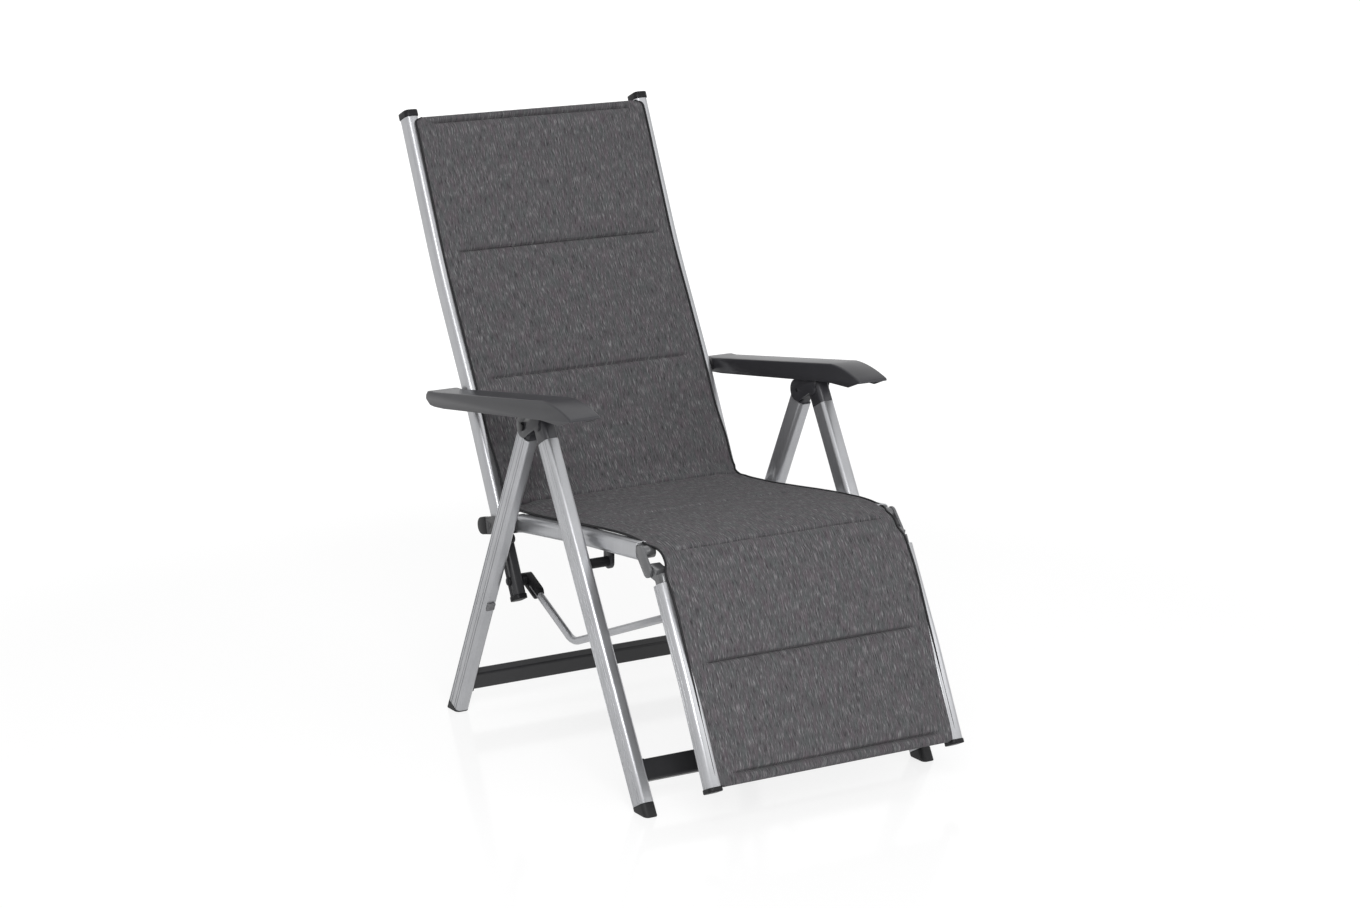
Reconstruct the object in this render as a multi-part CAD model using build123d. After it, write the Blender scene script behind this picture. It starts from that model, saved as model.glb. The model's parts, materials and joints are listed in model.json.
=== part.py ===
from build123d import *
import math
import os

# Reclining garden armchair. X across (left is -X), Y to the rear, Z up, floor at zero,
# with the origin on the floor under the middle of the chair. Millimetres and degrees.
# Places to the rear are first counted from the front feet, and moved when the pieces are written.

# Frame widths, to the outer faces of the tubes on one side
frame_outer = 258
tube_width = 26
tube_wall = 2
tube_corner = 9
back_tube_depth = 34
seat_tube_depth = 32
foot_tube_depth = 30
leg_gap = 14
leg_width = 26
leg_depth = 40
leg_wall = 2
leg_corner = 8

# Clearances
fit_gap = 0.15
soft_gap = 0.3
running_gap = 0.05
side_gap = 0.6
overrun = 5

# Legs
front_foot_place = -6.5
front_angle = 29.5
front_leg_short = 16
rear_foot_place = 676.7
rear_angle = 26.08
rear_leg_short = 18
front_leg_bottom = 14
rear_leg_bottom = 11.5
leg_pivot_height = 596
foot_grip = 22
rivet_reach = 2

# Crossbars between the legs
bar_depth = 20
bar_height = 38
bar_wall = 1.5
front_bar_height = 63
rear_bar_height = 63
bar_corner = 4
bar_bracket_wall = 3

# Head on top of each front leg, with the pivot of the rear leg
head_plug = 26
head_rise = 47
head_depth = 30
head_side = 3
head_round = 20
head_pin_radius = 6
head_pin_width = 34
knuckle_round = 19
knuckle_width = 22
pivot_bolt_radius = 4
bolt_head_radius = 7.5
bolt_head_width = 4

# Grooves along the tubes
groove_depth = 0.7
groove_width = 1.6
leg_groove_place = 6
corner_groove_depth = 1.2
foot_groove_place = 4.5
lever_groove_width = 5

# Seat pivot on the front legs
seat_pivot_drop = 40.3
bracket_width = 7
bracket_round = 13
spacer_radius = 9

# Rest pin on each rear leg, under the seat tube
rest_pin_radius = 8
bumper_height = 232
bumper_length = 15
bumper_rise = 4
bumper_inset = 5

# Seat frame: first point at the upper barrel of the front hinge
knee_place = 57
knee_height = 438
seat_front_run = 193.7
seat_front_angle = 5.03
seat_middle_run = 231.7
seat_middle_angle = 6.94
seat_rear_run = 140.7
seat_rear_angle = 13.1
seat_bend = 1500
seat_rear_bend = 150
seat_tube_end = 22
recline_pivot_run = 90.4
rear_plate_width = 9.5
rear_plate_gap = 1.5
rear_plug_start = 10
end_cap_length = 34
rail_radius = 9
rail_wall = 1.5
seat_front_rail_run = 95
seat_rear_rail_run = 40
seat_barrel_gap = 13

# Backrest
back_lower_run = 230.7
back_lower_angle = 25.9
back_middle_run = 251.1
back_middle_angle = 28.8
back_upper_run = 293.8
back_upper_angle = 24.2
back_bend = 1800
back_tube_below = 10
back_cap_rise = 13
back_cap_side = 2
back_cap_skirt = 22
back_top_rail_drop = 30
back_low_rail_run = 95
lever_length = 133
lever_overlap = 88
lever_wall = 2
lever_cap_rise = 9
lever_cap_plug = 14
rod_pivot_run = 106

# Armrests
arm_pivot_run = 244
arm_gap = 6.5
arm_width = 59.5
arm_skin = 3
arm_rear_reach = 37
arm_rear_depth = 22
arm_front_reach = 391
arm_angle = 8.65
arm_front_depth = 42
arm_nose_length = 103
arm_nose_drop = 24
arm_nose_thick = 6
arm_top_over_pivot = 13
arm_edge_round = 9
arm_tail_solid = 62
arm_lip_solid = 30
arm_pin_radius = 5
arm_pin_flange_radius = 12
arm_pin_reach = 26
arm_tail_share = 0.67
rack_tooth_pitch = 19
rack_tooth_depth = 7
rack_width = 20
rack_thickness = 8
rack_nose_gap = 6
rack_length = 117
rack_slope_share = 0.8

# Double hinge of the footrest
link_length = 34.7
link_angle = 41.5
link_round = 12.5
link_width = 5
barrel_round = 11
barrel_width = 21
hinge_pin_radius = 4
hinge_plug = 30

# Footrest
foot_offset = 22
foot_offset_drop = 4
foot_upper_run = 183
foot_upper_angle = 28.4
foot_lower_run = 183.4
foot_lower_angle = 25.9
foot_bend = 1500
foot_cap_rise = 8
foot_rail_run = 30
foot_top_cap_length = 16

# Push rods
rod_radius = 7
rod_gap = 14
rod_front_run = 70
rod_bend_place = 356
rod_bend_height = 200
rod_bend_radius = 45
clevis_width = 14
clevis_round = 11.5
clevis_length = 40
rod_eye_round = 12
rod_eye_width = 8
rod_eye_play = 3.2
stud_radius = 4
rod_neck_share = 1.5

# Padded sling
pad_inset = 14.4
pad_seam_inset = 30.6
pad_edge = 5.5
pad_border = 6
pad_seam = 5
pad_crown = 13
back_pad_start = 36
back_low_seam_past = 40
back_high_seam_past = 40
back_pad_short = 6
seat_pad_front = 40
seat_seam_run = 226
seat_pad_back = 476
pad_rise = 1.2
pad_lift = 0.6
back_pad_lift = 1.5
pad_smooth = 60
foot_pad_top = 52
foot_seam_run = 148
foot_pad_hem = 12
pad_station_shares = (0, 0.03, 0.12, 0.3, 0.5, 0.7, 0.88, 0.97)


def step(point, length, lean):
    """A point that lies length away from another, leaning by degrees from straight up to the rear."""
    angle = math.radians(lean)
    return (point[0] + length * math.sin(angle), point[1] + length * math.cos(angle))


def on_front_leg(height):
    """The place on the front leg's centre line at a height."""
    return (front_foot_place + height * math.tan(math.radians(front_angle)), height)


def on_rear_leg(height):
    """The place on the rear leg's centre line at a height."""
    return (rear_foot_place - height * math.tan(math.radians(rear_angle)), height)


def below_seat(drop):
    """The place where the front leg's centre line lies a drop below the seat tube's first run."""
    lean = math.tan(math.radians(front_angle))
    fall = math.tan(math.radians(seat_front_angle))
    level = knee_height - drop / math.cos(math.radians(seat_front_angle))
    height = (level + fall * (knee_place - front_foot_place)) / (1 + fall * lean)
    return on_front_leg(height)


# Pivots and routes in the side plane, as (place to the rear, height)
leg_pivot = on_rear_leg(leg_pivot_height)
front_leg_top = leg_pivot_height - front_leg_short
rear_leg_top = leg_pivot_height - rear_leg_short
seat_pivot = below_seat(seat_pivot_drop)
knee = (knee_place, knee_height)
quarter_angle = 90
seat_one = step(knee, seat_front_run, quarter_angle + seat_front_angle)
seat_two = step(seat_one, seat_middle_run, quarter_angle + seat_middle_angle)
seat_three = step(seat_two, seat_rear_run, quarter_angle + seat_rear_angle)
recline_pivot = step(seat_two, recline_pivot_run, quarter_angle + seat_rear_angle)
back_one = step(recline_pivot, back_lower_run, back_lower_angle)
back_two = step(back_one, back_middle_run, back_middle_angle)
back_three = step(back_two, back_upper_run, back_upper_angle)
arm_pivot = step(recline_pivot, arm_pivot_run, back_lower_angle)
rod_pivot = step(recline_pivot, -rod_pivot_run, back_lower_angle)
link_end = step(knee, -link_length, link_angle)
foot_top = (link_end[0] - foot_offset, link_end[1] - foot_offset_drop)
foot_one = step(foot_top, -foot_upper_run, foot_upper_angle)
foot_two = step(foot_one, -foot_lower_run, foot_lower_angle)
rod_front = step(foot_top, -rod_front_run, foot_upper_angle)
tube_inner = frame_outer - tube_width
tube_middle = frame_outer - tube_width / 2
leg_inner = frame_outer + leg_gap
leg_middle = leg_inner + leg_width / 2
leg_outer = leg_inner + leg_width
rivet_place = leg_inner + leg_wall + rivet_reach
ear_inner = leg_inner - side_gap - head_side
ear_outer = leg_outer + side_gap + head_side
bracket_inner = tube_inner - bracket_width - fit_gap
plate_inner = frame_outer + rear_plate_gap
arm_inner = frame_outer + arm_gap
arm_outer = arm_inner + arm_width
rack_last = arm_front_reach - rack_nose_gap
rack_first = rack_last - rack_length
rod_inset = tube_inner - rod_gap
clevis_inner = rod_inset - clevis_width / 2
stud_inner = rod_inset - rod_eye_width / 2 - side_gap
pad_half = frame_outer - pad_inset
pad_seam_half = pad_half - pad_seam_inset
pieces = {}


def space(point, across):
    """A side-plane point as a point in space."""
    return (across, point[0], point[1])


def plate(points, across, width):
    """A flat plate with a straight-sided outline in the side plane."""
    outline = make_face(Polyline(*points, close=True))
    return extrude(Plane.YZ.offset(across) * outline, width)


def disc(point, radius, across, width):
    """A round bar or boss that lies across the chair."""
    return extrude(Plane.YZ.offset(across) * (Pos(*point) * Circle(radius)), width)


def normal_of(start, end):
    """The unit vector square to a run in the side plane, and the unit vector along it."""
    length = math.hypot(end[0] - start[0], end[1] - start[1])
    along = ((end[0] - start[0]) / length, (end[1] - start[1]) / length)
    return (-along[1], along[0]), along


def strip(start, end, half, across, width):
    """A plate whose outline is a straight band between two points."""
    square, _ = normal_of(start, end)
    corners = [
        (start[0] + half * square[0], start[1] + half * square[1]),
        (end[0] + half * square[0], end[1] + half * square[1]),
        (end[0] - half * square[0], end[1] - half * square[1]),
        (start[0] - half * square[0], start[1] - half * square[1]),
    ]
    return plate(corners, across, width)


def rounded_link(start, end, half, across, width):
    """A plate with two round ends."""
    body = strip(start, end, half, across, width)
    return body + disc(start, half, across, width) + disc(end, half, across, width)


def section_plane(point, across, direction):
    """The plane of a tube's section, square to its direction in the side plane."""
    return Plane(origin=space(point, across), x_dir=(1, 0, 0), z_dir=(0, direction[0], direction[1]))


def profile(width, depth, corner, wall):
    """A rounded hollow tube section, or a solid one where the wall is zero."""
    outer = RectangleRounded(width, depth, corner)
    if wall == 0:
        return outer
    return outer - RectangleRounded(width - 2 * wall, depth - 2 * wall, corner - wall)


def grooved(section, face, places, depth, width):
    """A tube section with grooves in the side face that lies at a distance from its middle."""
    for place in places:
        section = section - Pos(face, place) * Rectangle(2 * depth, width)
    return section


def straight_tube(start, end, across, section):
    """A straight tube between two side-plane points."""
    _, along = normal_of(start, end)
    length = math.hypot(end[0] - start[0], end[1] - start[1])
    return extrude(section_plane(start, across, along) * section, length)


def bent_tube(points, bend, across, section):
    """A tube along straight runs that gentle arcs join."""
    path = FilletPolyline(*[space(point, across) for point in points], radius=bend)
    _, along = normal_of(points[0], points[1])
    return sweep(section_plane(points[0], across, along) * section, path=path)


def cross_rail(point, radius, wall, half):
    """A round cross rail between the side tubes."""
    bar = disc(point, radius, -half, 2 * half)
    return bar - disc(point, radius - wall, -half, 2 * half)


def both(solid):
    """The solid and its mirror image, as one group for the two sides."""
    return Compound(children=[solid, mirror(solid, about=Plane.YZ)])


def cut_by(solid, *tools):
    """The solid less each tool."""
    for tool in tools:
        solid = solid - tool
    return solid


def keep(name, shape):
    """Keep one node's shape until all of them are written."""
    pieces[name] = shape


def keep_pair(name, solid):
    """Keep the right-hand solid and its mirror image as two nodes."""
    keep(name + "_right", solid)
    keep(name + "_left", mirror(solid, about=Plane.YZ))


def write_all():
    """Write each node, moved so that the middle of the chair's length is at zero."""
    box = Compound(children=list(pieces.values())).bounding_box()
    shift = -(box.min.Y + box.max.Y) / 2
    print("shift to the rear", round(shift, 3), "length", round(box.max.Y - box.min.Y, 2))
    for name, shape in pieces.items():
        shape.parent = None
        export_step(Pos(0, shift, 0) * shape, os.path.join("parts", name + ".step"))


# Legs, feet and crossbars
def leg(bottom, top, bolts):
    """A front or rear leg with grooves along its outer face, bored in its inner wall for its bolts."""
    face = leg_width / 2
    corner = leg_depth / 2 - leg_corner
    section = profile(leg_width, leg_depth, leg_corner, leg_wall)
    section = grooved(section, face, (-leg_groove_place, leg_groove_place), groove_depth, groove_width)
    section = grooved(section, face, (-corner, corner), corner_groove_depth, groove_width)
    tube = straight_tube(bottom, top, leg_middle, section)
    for point, radius in bolts:
        tube = tube - disc(point, radius, leg_inner - overrun, leg_wall + 2 * overrun)
    return tube


def leg_core():
    """The solid section that slides into a leg."""
    inset = 2 * (leg_wall + fit_gap)
    return profile(leg_width - inset, leg_depth - inset, leg_corner - leg_wall - fit_gap, 0)


def foot(bottom, lean):
    """A plug in the end of a leg, with a sole flush with the leg and cut flat on the floor."""
    low = step(bottom, -fit_gap, lean)
    plug = straight_tube(low, step(bottom, foot_grip, lean), leg_middle, leg_core())
    outline = profile(leg_width, leg_depth, leg_corner, 0)
    sole = straight_tube(step(bottom, -leg_depth, lean), low, leg_middle, outline)
    floor = Pos(leg_middle, bottom[0], -leg_depth) * Box(2 * leg_depth, 4 * leg_depth, 2 * leg_depth)
    return plug + sole - floor


def crossbar(point, along):
    """A flat tube between two legs, along their lean, with a bracket at each leg."""
    half = leg_inner - fit_gap
    section = profile(bar_depth, bar_height, bar_corner, bar_wall)
    plane = Plane(origin=space(point, -half), x_dir=(0, -along[1], along[0]), z_dir=(1, 0, 0))
    bar = extrude(plane * section, 2 * half)
    ends = [section_end(point, along, side * half, -side * bar_bracket_wall) for side in (-1, 1)]
    return bar + ends[0] + ends[1]


def section_end(point, along, across, width):
    """A plate that closes a crossbar against its leg."""
    low = (point[0] - along[0] * bar_height / 2, point[1] - along[1] * bar_height / 2)
    high = (point[0] + along[0] * bar_height / 2, point[1] + along[1] * bar_height / 2)
    return strip(low, high, bar_depth / 2 + bar_bracket_wall, across, width)


def leg_head():
    """The moulding on a front leg: plug, box, ears round the rear leg's pivot and the rack pin."""
    top = on_front_leg(front_leg_top)
    _, along = normal_of(on_front_leg(0), top)
    low = step(top, -head_plug, front_angle)
    high = step(top, head_rise, front_angle)
    plug = straight_tube(low, step(top, fit_gap, front_angle), leg_middle, leg_core())
    seat = step(top, fit_gap, front_angle)
    box = straight_tube(seat, high, leg_middle, profile(leg_width, leg_depth, leg_corner, 0))
    ears = [rounded_link(high, leg_pivot, head_round, across, head_side)
            for across in (leg_outer + side_gap, ear_inner)]
    tie_point = step(top, head_rise / 2 + head_plug / 4, front_angle)
    tie = disc(tie_point, head_depth / 3, ear_inner, ear_outer - ear_inner)
    pin_point = step(high, head_pin_radius, front_angle)
    pin = disc(pin_point, head_pin_radius, leg_middle - head_pin_width / 2, head_pin_width)
    neck = strip(high, pin_point, head_pin_radius, leg_inner, leg_width)
    clear = disc(leg_pivot, knuckle_round + side_gap * 2, leg_inner - side_gap, leg_width + 2 * side_gap)
    ear_span = ear_outer - ear_inner
    bore = disc(leg_pivot, pivot_bolt_radius + fit_gap, ear_inner - overrun, ear_span + 2 * overrun)
    body = plug + box + neck - clear
    return body + ears[0] + ears[1] + tie + pin - bore


def rear_knuckle():
    """The plug in the rear leg's top, with a round knuckle on the pivot."""
    top = on_rear_leg(rear_leg_top)
    low = step(top, -head_plug, -rear_angle)
    core = leg_core()
    plug = straight_tube(low, leg_pivot, leg_middle, core)
    ring = disc(leg_pivot, knuckle_round, leg_middle - knuckle_width / 2, knuckle_width)
    trim = straight_tube(step(top, -fit_gap, -rear_angle), low, leg_middle,
                         profile(leg_width * 2, leg_depth * 2, leg_corner, 0) - core)
    return plug + ring - trim - disc(leg_pivot, pivot_bolt_radius + running_gap, leg_inner, leg_width)


def bolt(point, radius, inner, outer):
    """A bolt across the chair with a low head at its outer end."""
    shank = disc(point, radius, inner, outer - inner)
    return shank + disc(point, bolt_head_radius, outer, bolt_head_width)


def build_front_legs():
    """Everything that stands on the front feet."""
    bottom = on_front_leg(front_leg_bottom)
    top = on_front_leg(front_leg_top)
    keep_pair("front_leg", leg(bottom, top, [(seat_pivot, pivot_bolt_radius + fit_gap)]))
    keep("front_feet", both(foot(bottom, front_angle)))
    _, along = normal_of(bottom, top)
    keep("front_crossbar", crossbar(on_front_leg(front_bar_height), along))
    keep_pair("leg_head", leg_head())
    keep("leg_pivot_bolts", both(bolt(leg_pivot, pivot_bolt_radius, ear_inner, ear_outer)))
    inner = bracket_inner - fit_gap
    keep("seat_pivot_bolts", both(bolt(seat_pivot, pivot_bolt_radius, inner, rivet_place)))
    spacer = disc(seat_pivot, spacer_radius, bracket_inner + bracket_width + side_gap,
                  leg_inner - bracket_inner - bracket_width - side_gap)
    bore = disc(seat_pivot, pivot_bolt_radius + fit_gap, bracket_inner, leg_inner)
    keep("seat_pivot_spacers", both(spacer - bore))


def rest_pin_point():
    """The place on the rear leg where a pin just touches the underside of the seat tube."""
    square, along = normal_of(seat_two, seat_three)
    drop = seat_tube_depth / 2 + rest_pin_radius + soft_gap
    base = (seat_two[0] - square[0] * drop, seat_two[1] - square[1] * drop)
    lean = math.tan(math.radians(rear_angle))
    # base + t * along meets place = rear_foot_place - height * lean
    travel = (rear_foot_place - base[0] - lean * base[1]) / (along[0] + lean * along[1])
    return (base[0] + travel * along[0], base[1] + travel * along[1])


def build_rear_legs():
    """Everything that stands on the rear feet."""
    bottom = on_rear_leg(rear_leg_bottom)
    top = on_rear_leg(rear_leg_top)
    rest = rest_pin_point()
    keep_pair("rear_leg", leg(bottom, top, [(rest, pivot_bolt_radius + fit_gap)]))
    keep("rear_feet", both(foot(bottom, -rear_angle)))
    _, along = normal_of(bottom, top)
    keep("rear_crossbar", crossbar(on_rear_leg(rear_bar_height), along))
    keep_pair("rear_knuckle", rear_knuckle())
    reach = leg_inner - plate_inner
    pin = disc(rest, rest_pin_radius, plate_inner, reach)
    keep("rest_pins", both(pin + bolt(rest, pivot_bolt_radius, plate_inner, rivet_place)))
    low = on_rear_leg(bumper_height)
    high = step(low, bumper_length, -rear_angle)
    square, _ = normal_of(low, high)
    offset = leg_depth / 2 + bumper_rise / 2 + fit_gap
    low = (low[0] - abs(square[0]) * offset, low[1] - abs(square[1]) * offset)
    high = (high[0] - abs(square[0]) * offset, high[1] - abs(square[1]) * offset)
    bumper = strip(low, high, bumper_rise / 2, leg_inner + bumper_inset, leg_width - 2 * bumper_inset)
    keep("leg_bumpers", both(bumper))


# Seat frame
def seat_tube():
    """A side tube of the seat, from the hinge plug to the rear bracket."""
    start = step(knee, seat_barrel_gap, quarter_angle + seat_front_angle)
    end = step(seat_two, seat_tube_end, quarter_angle + seat_rear_angle)
    section = profile(tube_width, seat_tube_depth, tube_corner, tube_wall)
    return bent_tube([start, seat_one, seat_two, end], [seat_bend, seat_rear_bend], tube_middle, section)


def tube_core(depth):
    """The solid section that slides into a tube of this depth."""
    inset = 2 * (tube_wall + fit_gap)
    return profile(tube_width - inset, depth - inset, tube_corner - tube_wall - fit_gap, 0)


def seat_hinge():
    """The moulding in the seat tube's front end, with the upper barrel."""
    start = step(knee, seat_barrel_gap - fit_gap, quarter_angle + seat_front_angle)
    end = step(knee, seat_barrel_gap + hinge_plug, quarter_angle + seat_front_angle)
    plug = straight_tube(start, end, tube_middle, tube_core(seat_tube_depth))
    barrel = disc(knee, barrel_round, tube_inner, barrel_width)
    neck = strip(knee, start, barrel_round, tube_inner, barrel_width)
    bore = disc(knee, hinge_pin_radius + running_gap, tube_inner - overrun, tube_width + overrun)
    return plug + barrel + neck - bore


def seat_bracket():
    """The tab on the seat tube's inner face that hangs on the front leg's bolt."""
    square, along = normal_of(knee, seat_one)
    travel = (seat_pivot[0] - knee[0]) / along[0]
    top = (knee[0] + along[0] * travel, knee[1] + along[1] * travel)
    tab = strip(top, seat_pivot, bracket_round, bracket_inner, bracket_width)
    tab = tab + disc(seat_pivot, bracket_round, bracket_inner, bracket_width)
    return tab - disc(seat_pivot, pivot_bolt_radius + running_gap, bracket_inner, bracket_width)


def rear_bracket():
    """The end fitting of the seat tube: a plug, a step outwards and a plate outside the back tube."""
    lean = quarter_angle + seat_rear_angle
    tube_end = step(seat_two, seat_tube_end + fit_gap, lean)
    step_end = step(seat_two, seat_tube_end + rear_plate_width, lean)
    end = step(seat_three, -end_cap_length, lean)
    core = tube_core(seat_tube_depth)
    plug = straight_tube(step(seat_two, rear_plug_start, lean), tube_end, tube_middle, core)
    half = seat_tube_depth / 2
    jog = strip(tube_end, step_end, half, tube_inner, plate_inner + rear_plate_width - tube_inner)
    blade = strip(tube_end, end, half, plate_inner, rear_plate_width)
    bore_width = rear_plate_width + 2 * overrun
    bore = disc(recline_pivot, pivot_bolt_radius + fit_gap, plate_inner - overrun, bore_width)
    return plug + jog + blade - bore


def seat_end_cap():
    """The rounded cap on the rear end of the plate."""
    lean = quarter_angle + seat_rear_angle
    start = step(seat_three, fit_gap - end_cap_length, lean)
    end = step(seat_three, -seat_tube_depth / 2, lean)
    half = seat_tube_depth / 2
    body = strip(start, end, half, plate_inner - rear_plate_gap / 2, rear_plate_width + rear_plate_gap)
    return body + disc(end, half, plate_inner - rear_plate_gap / 2, rear_plate_width + rear_plate_gap)


def build_seat():
    """The seat frame and its part of the sling."""
    keep_pair("seat_tube", seat_tube())
    keep_pair("seat_hinge", seat_hinge())
    keep("seat_brackets", both(seat_bracket()))
    keep_pair("seat_rear_bracket", rear_bracket())
    keep("seat_end_caps", both(seat_end_cap()))
    front = step(seat_one, -seat_front_rail_run, quarter_angle + seat_front_angle)
    rear = step(seat_two, -seat_rear_rail_run, quarter_angle + seat_middle_angle)
    rails = [cross_rail(point, rail_radius, rail_wall, tube_inner - fit_gap) for point in (front, rear)]
    keep("seat_rails", Compound(children=rails))
    keep("seat_pad", seat_pad())


# Backrest
def back_tube():
    """A side tube of the backrest, bored for the pivot and the armrest pin."""
    start = step(recline_pivot, -back_tube_below, back_lower_angle)
    section = profile(tube_width, back_tube_depth, tube_corner, tube_wall)
    tube = bent_tube([start, back_one, back_two, back_three], [back_bend, back_bend], tube_middle, section)
    width = tube_width + 2 * overrun
    tube = tube - disc(recline_pivot, pivot_bolt_radius + fit_gap, tube_inner - overrun, width)
    return tube - disc(arm_pivot, arm_pin_radius + running_gap, tube_inner - overrun, width)


def back_cap():
    """The cap over the top of a back tube."""
    top = step(back_three, back_cap_rise, back_upper_angle)
    low = step(back_three, -back_cap_skirt, back_upper_angle)
    width = tube_width + back_cap_side
    depth = back_tube_depth + 2 * back_cap_side
    outer = straight_tube(back_three, top, tube_middle, profile(width, depth, tube_corner, 0))
    plug = straight_tube(low, back_three, tube_middle, tube_core(back_tube_depth))
    return outer + plug


def lever():
    """The dark tube that goes on from the back tube below the pivot."""
    start = step(recline_pivot, lever_overlap, back_lower_angle)
    end = step(recline_pivot, -lever_length, back_lower_angle)
    inset = 2 * (tube_wall + fit_gap)
    corner = tube_corner - tube_wall - fit_gap
    section = profile(tube_width - inset, back_tube_depth - inset, corner, lever_wall)
    section = grooved(section, (tube_width - inset) / 2, (0,), groove_depth, lever_groove_width)
    tube = straight_tube(start, end, tube_middle, section)
    width = tube_width + 2 * overrun
    tube = tube - disc(recline_pivot, pivot_bolt_radius + running_gap, tube_inner - overrun, width)
    return tube - disc(rod_pivot, pivot_bolt_radius + fit_gap, tube_inner - overrun, width)


def lever_cap():
    """The cap in the lever's lower end."""
    start = step(recline_pivot, -lever_length - fit_gap, back_lower_angle)
    end = step(start, -lever_cap_rise, back_lower_angle)
    plug_end = step(start, lever_cap_plug, back_lower_angle)
    inset = 2 * (tube_wall + fit_gap)
    outer = profile(tube_width - tube_wall, back_tube_depth - tube_wall, tube_corner - tube_wall, 0)
    shrink = inset + 2 * (lever_wall + fit_gap)
    corner = tube_corner - tube_wall - lever_wall - 2 * fit_gap
    core = profile(tube_width - shrink, back_tube_depth - shrink, corner, 0)
    return straight_tube(start, end, tube_middle, outer) + straight_tube(start, plug_end, tube_middle, core)


def build_backrest():
    """The back frame, its levers and its part of the sling."""
    keep_pair("back_tube", back_tube())
    keep("back_caps", both(back_cap()))
    keep_pair("lever", lever())
    keep("lever_caps", both(lever_cap()))
    pivot_inner = tube_inner - fit_gap
    pivot_outer = plate_inner + rear_plate_width + fit_gap
    shank = disc(recline_pivot, pivot_bolt_radius, pivot_inner, pivot_outer - pivot_inner)
    head = disc(recline_pivot, bolt_head_radius, pivot_inner - bolt_head_width, bolt_head_width)
    keep("recline_bolts", both(shank + head))
    top = step(back_three, -back_top_rail_drop, back_upper_angle)
    low = step(recline_pivot, back_low_rail_run, back_lower_angle)
    rails = [cross_rail(point, rail_radius, rail_wall, tube_inner - fit_gap) for point in (top, low)]
    keep("back_rails", Compound(children=rails))
    rod_bolt = disc(rod_pivot, pivot_bolt_radius, clevis_inner, frame_outer - tube_wall - clevis_inner)
    rod_head = disc(rod_pivot, bolt_head_radius, frame_outer - tube_wall, bolt_head_width)
    keep("rod_bolts", both(rod_bolt + rod_head))
    keep("back_pad", back_pad())


# Armrests
def arm_outline(skin):
    """The side outline of an armrest, moved in by the skin from its top, with its nose and tail."""
    slope = math.radians(arm_angle)
    top_rear = (arm_pivot[0] + arm_rear_reach, arm_pivot[1] + arm_top_over_pivot - arm_edge_round)
    crest = (arm_pivot[0], arm_pivot[1] + arm_top_over_pivot - skin)
    nose = (arm_pivot[0] - arm_front_reach, crest[1] + arm_front_reach * math.tan(slope))
    lip = (nose[0] - arm_nose_length, nose[1] - arm_nose_drop)
    lip_low = (lip[0] + arm_nose_thick, lip[1] - arm_nose_thick)
    knee_low = (nose[0] + arm_front_depth / 2, nose[1] - arm_front_depth)
    rear_low = (arm_pivot[0] - arm_rear_reach, arm_pivot[1] - arm_rear_depth / 2)
    tail_low = (arm_pivot[0] + arm_rear_reach / 2, arm_pivot[1] - arm_rear_depth * arm_tail_share)
    return [top_rear, crest, nose, lip, lip_low, knee_low, rear_low, tail_low]


def armrest():
    """The moulded armrest: a shell that is open below, with a solid tail round its hinge pin."""
    outer = plate(arm_outline(0), arm_inner, arm_outer - arm_inner)
    points = arm_outline(arm_skin)
    front = points[2][0] - arm_nose_length + arm_lip_solid + arm_skin
    rear = arm_pivot[0] - arm_tail_solid
    slope = math.tan(math.radians(arm_angle))
    crest = points[1]
    hollow = [
        (rear, crest[1] + slope * (arm_pivot[0] - rear)),
        points[2],
        (front, points[3][1] + (front - points[3][0]) * arm_nose_drop / arm_nose_length - arm_skin / 2),
        (front, points[3][1] - arm_front_depth * 2),
        (rear, points[6][1] - arm_rear_depth),
    ]
    width = arm_outer - arm_inner - 2 * arm_skin
    shell = outer - plate(hollow, arm_inner + arm_skin, width)
    bore = disc(arm_pivot, arm_pin_radius + running_gap, arm_inner - overrun, arm_pin_reach + overrun)
    return shell - bore


def armrest_pin():
    """The pin on the back tube that carries an armrest."""
    pin = disc(arm_pivot, arm_pin_radius, tube_inner, arm_inner + arm_pin_reach - soft_gap - tube_inner)
    flange_start = frame_outer + soft_gap
    flange = disc(arm_pivot, arm_pin_flange_radius, flange_start, arm_inner - soft_gap - flange_start)
    return pin + flange


def rack():
    """The toothed rail under an armrest's top, over the pin on the leg head."""
    slope = math.tan(math.radians(arm_angle))
    top = arm_pivot[1] + arm_top_over_pivot - arm_skin - fit_gap
    start = (arm_pivot[0] - rack_first, top + slope * rack_first)
    end = (arm_pivot[0] - rack_last, top + slope * rack_last)
    count = int((rack_last - rack_first) / rack_tooth_pitch)
    points = [start, end]
    for index in range(count):
        place = rack_last - index * rack_tooth_pitch
        high = top + slope * place - rack_thickness
        points.append((arm_pivot[0] - place, high - rack_tooth_depth))
        points.append((arm_pivot[0] - place + rack_tooth_pitch * rack_slope_share, high))
    points.append((arm_pivot[0] - rack_first, top + slope * rack_first - rack_thickness))
    return plate(points, leg_middle - rack_width / 2, rack_width)


def build_armrests():
    """The two armrests with their racks and hinge pins."""
    keep_pair("armrest", armrest())
    keep_pair("armrest_pin", armrest_pin())
    keep_pair("armrest_rack", rack())


# Double hinge and footrest
def hinge_link():
    """The outer plate of the double hinge with its two pins."""
    across = tube_inner + barrel_width + side_gap
    body = rounded_link(knee, link_end, link_round, across, link_width)
    pins = [disc(point, hinge_pin_radius, tube_inner, barrel_width + side_gap + link_width / 2)
            for point in (knee, link_end)]
    return body + pins[0] + pins[1]


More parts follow.
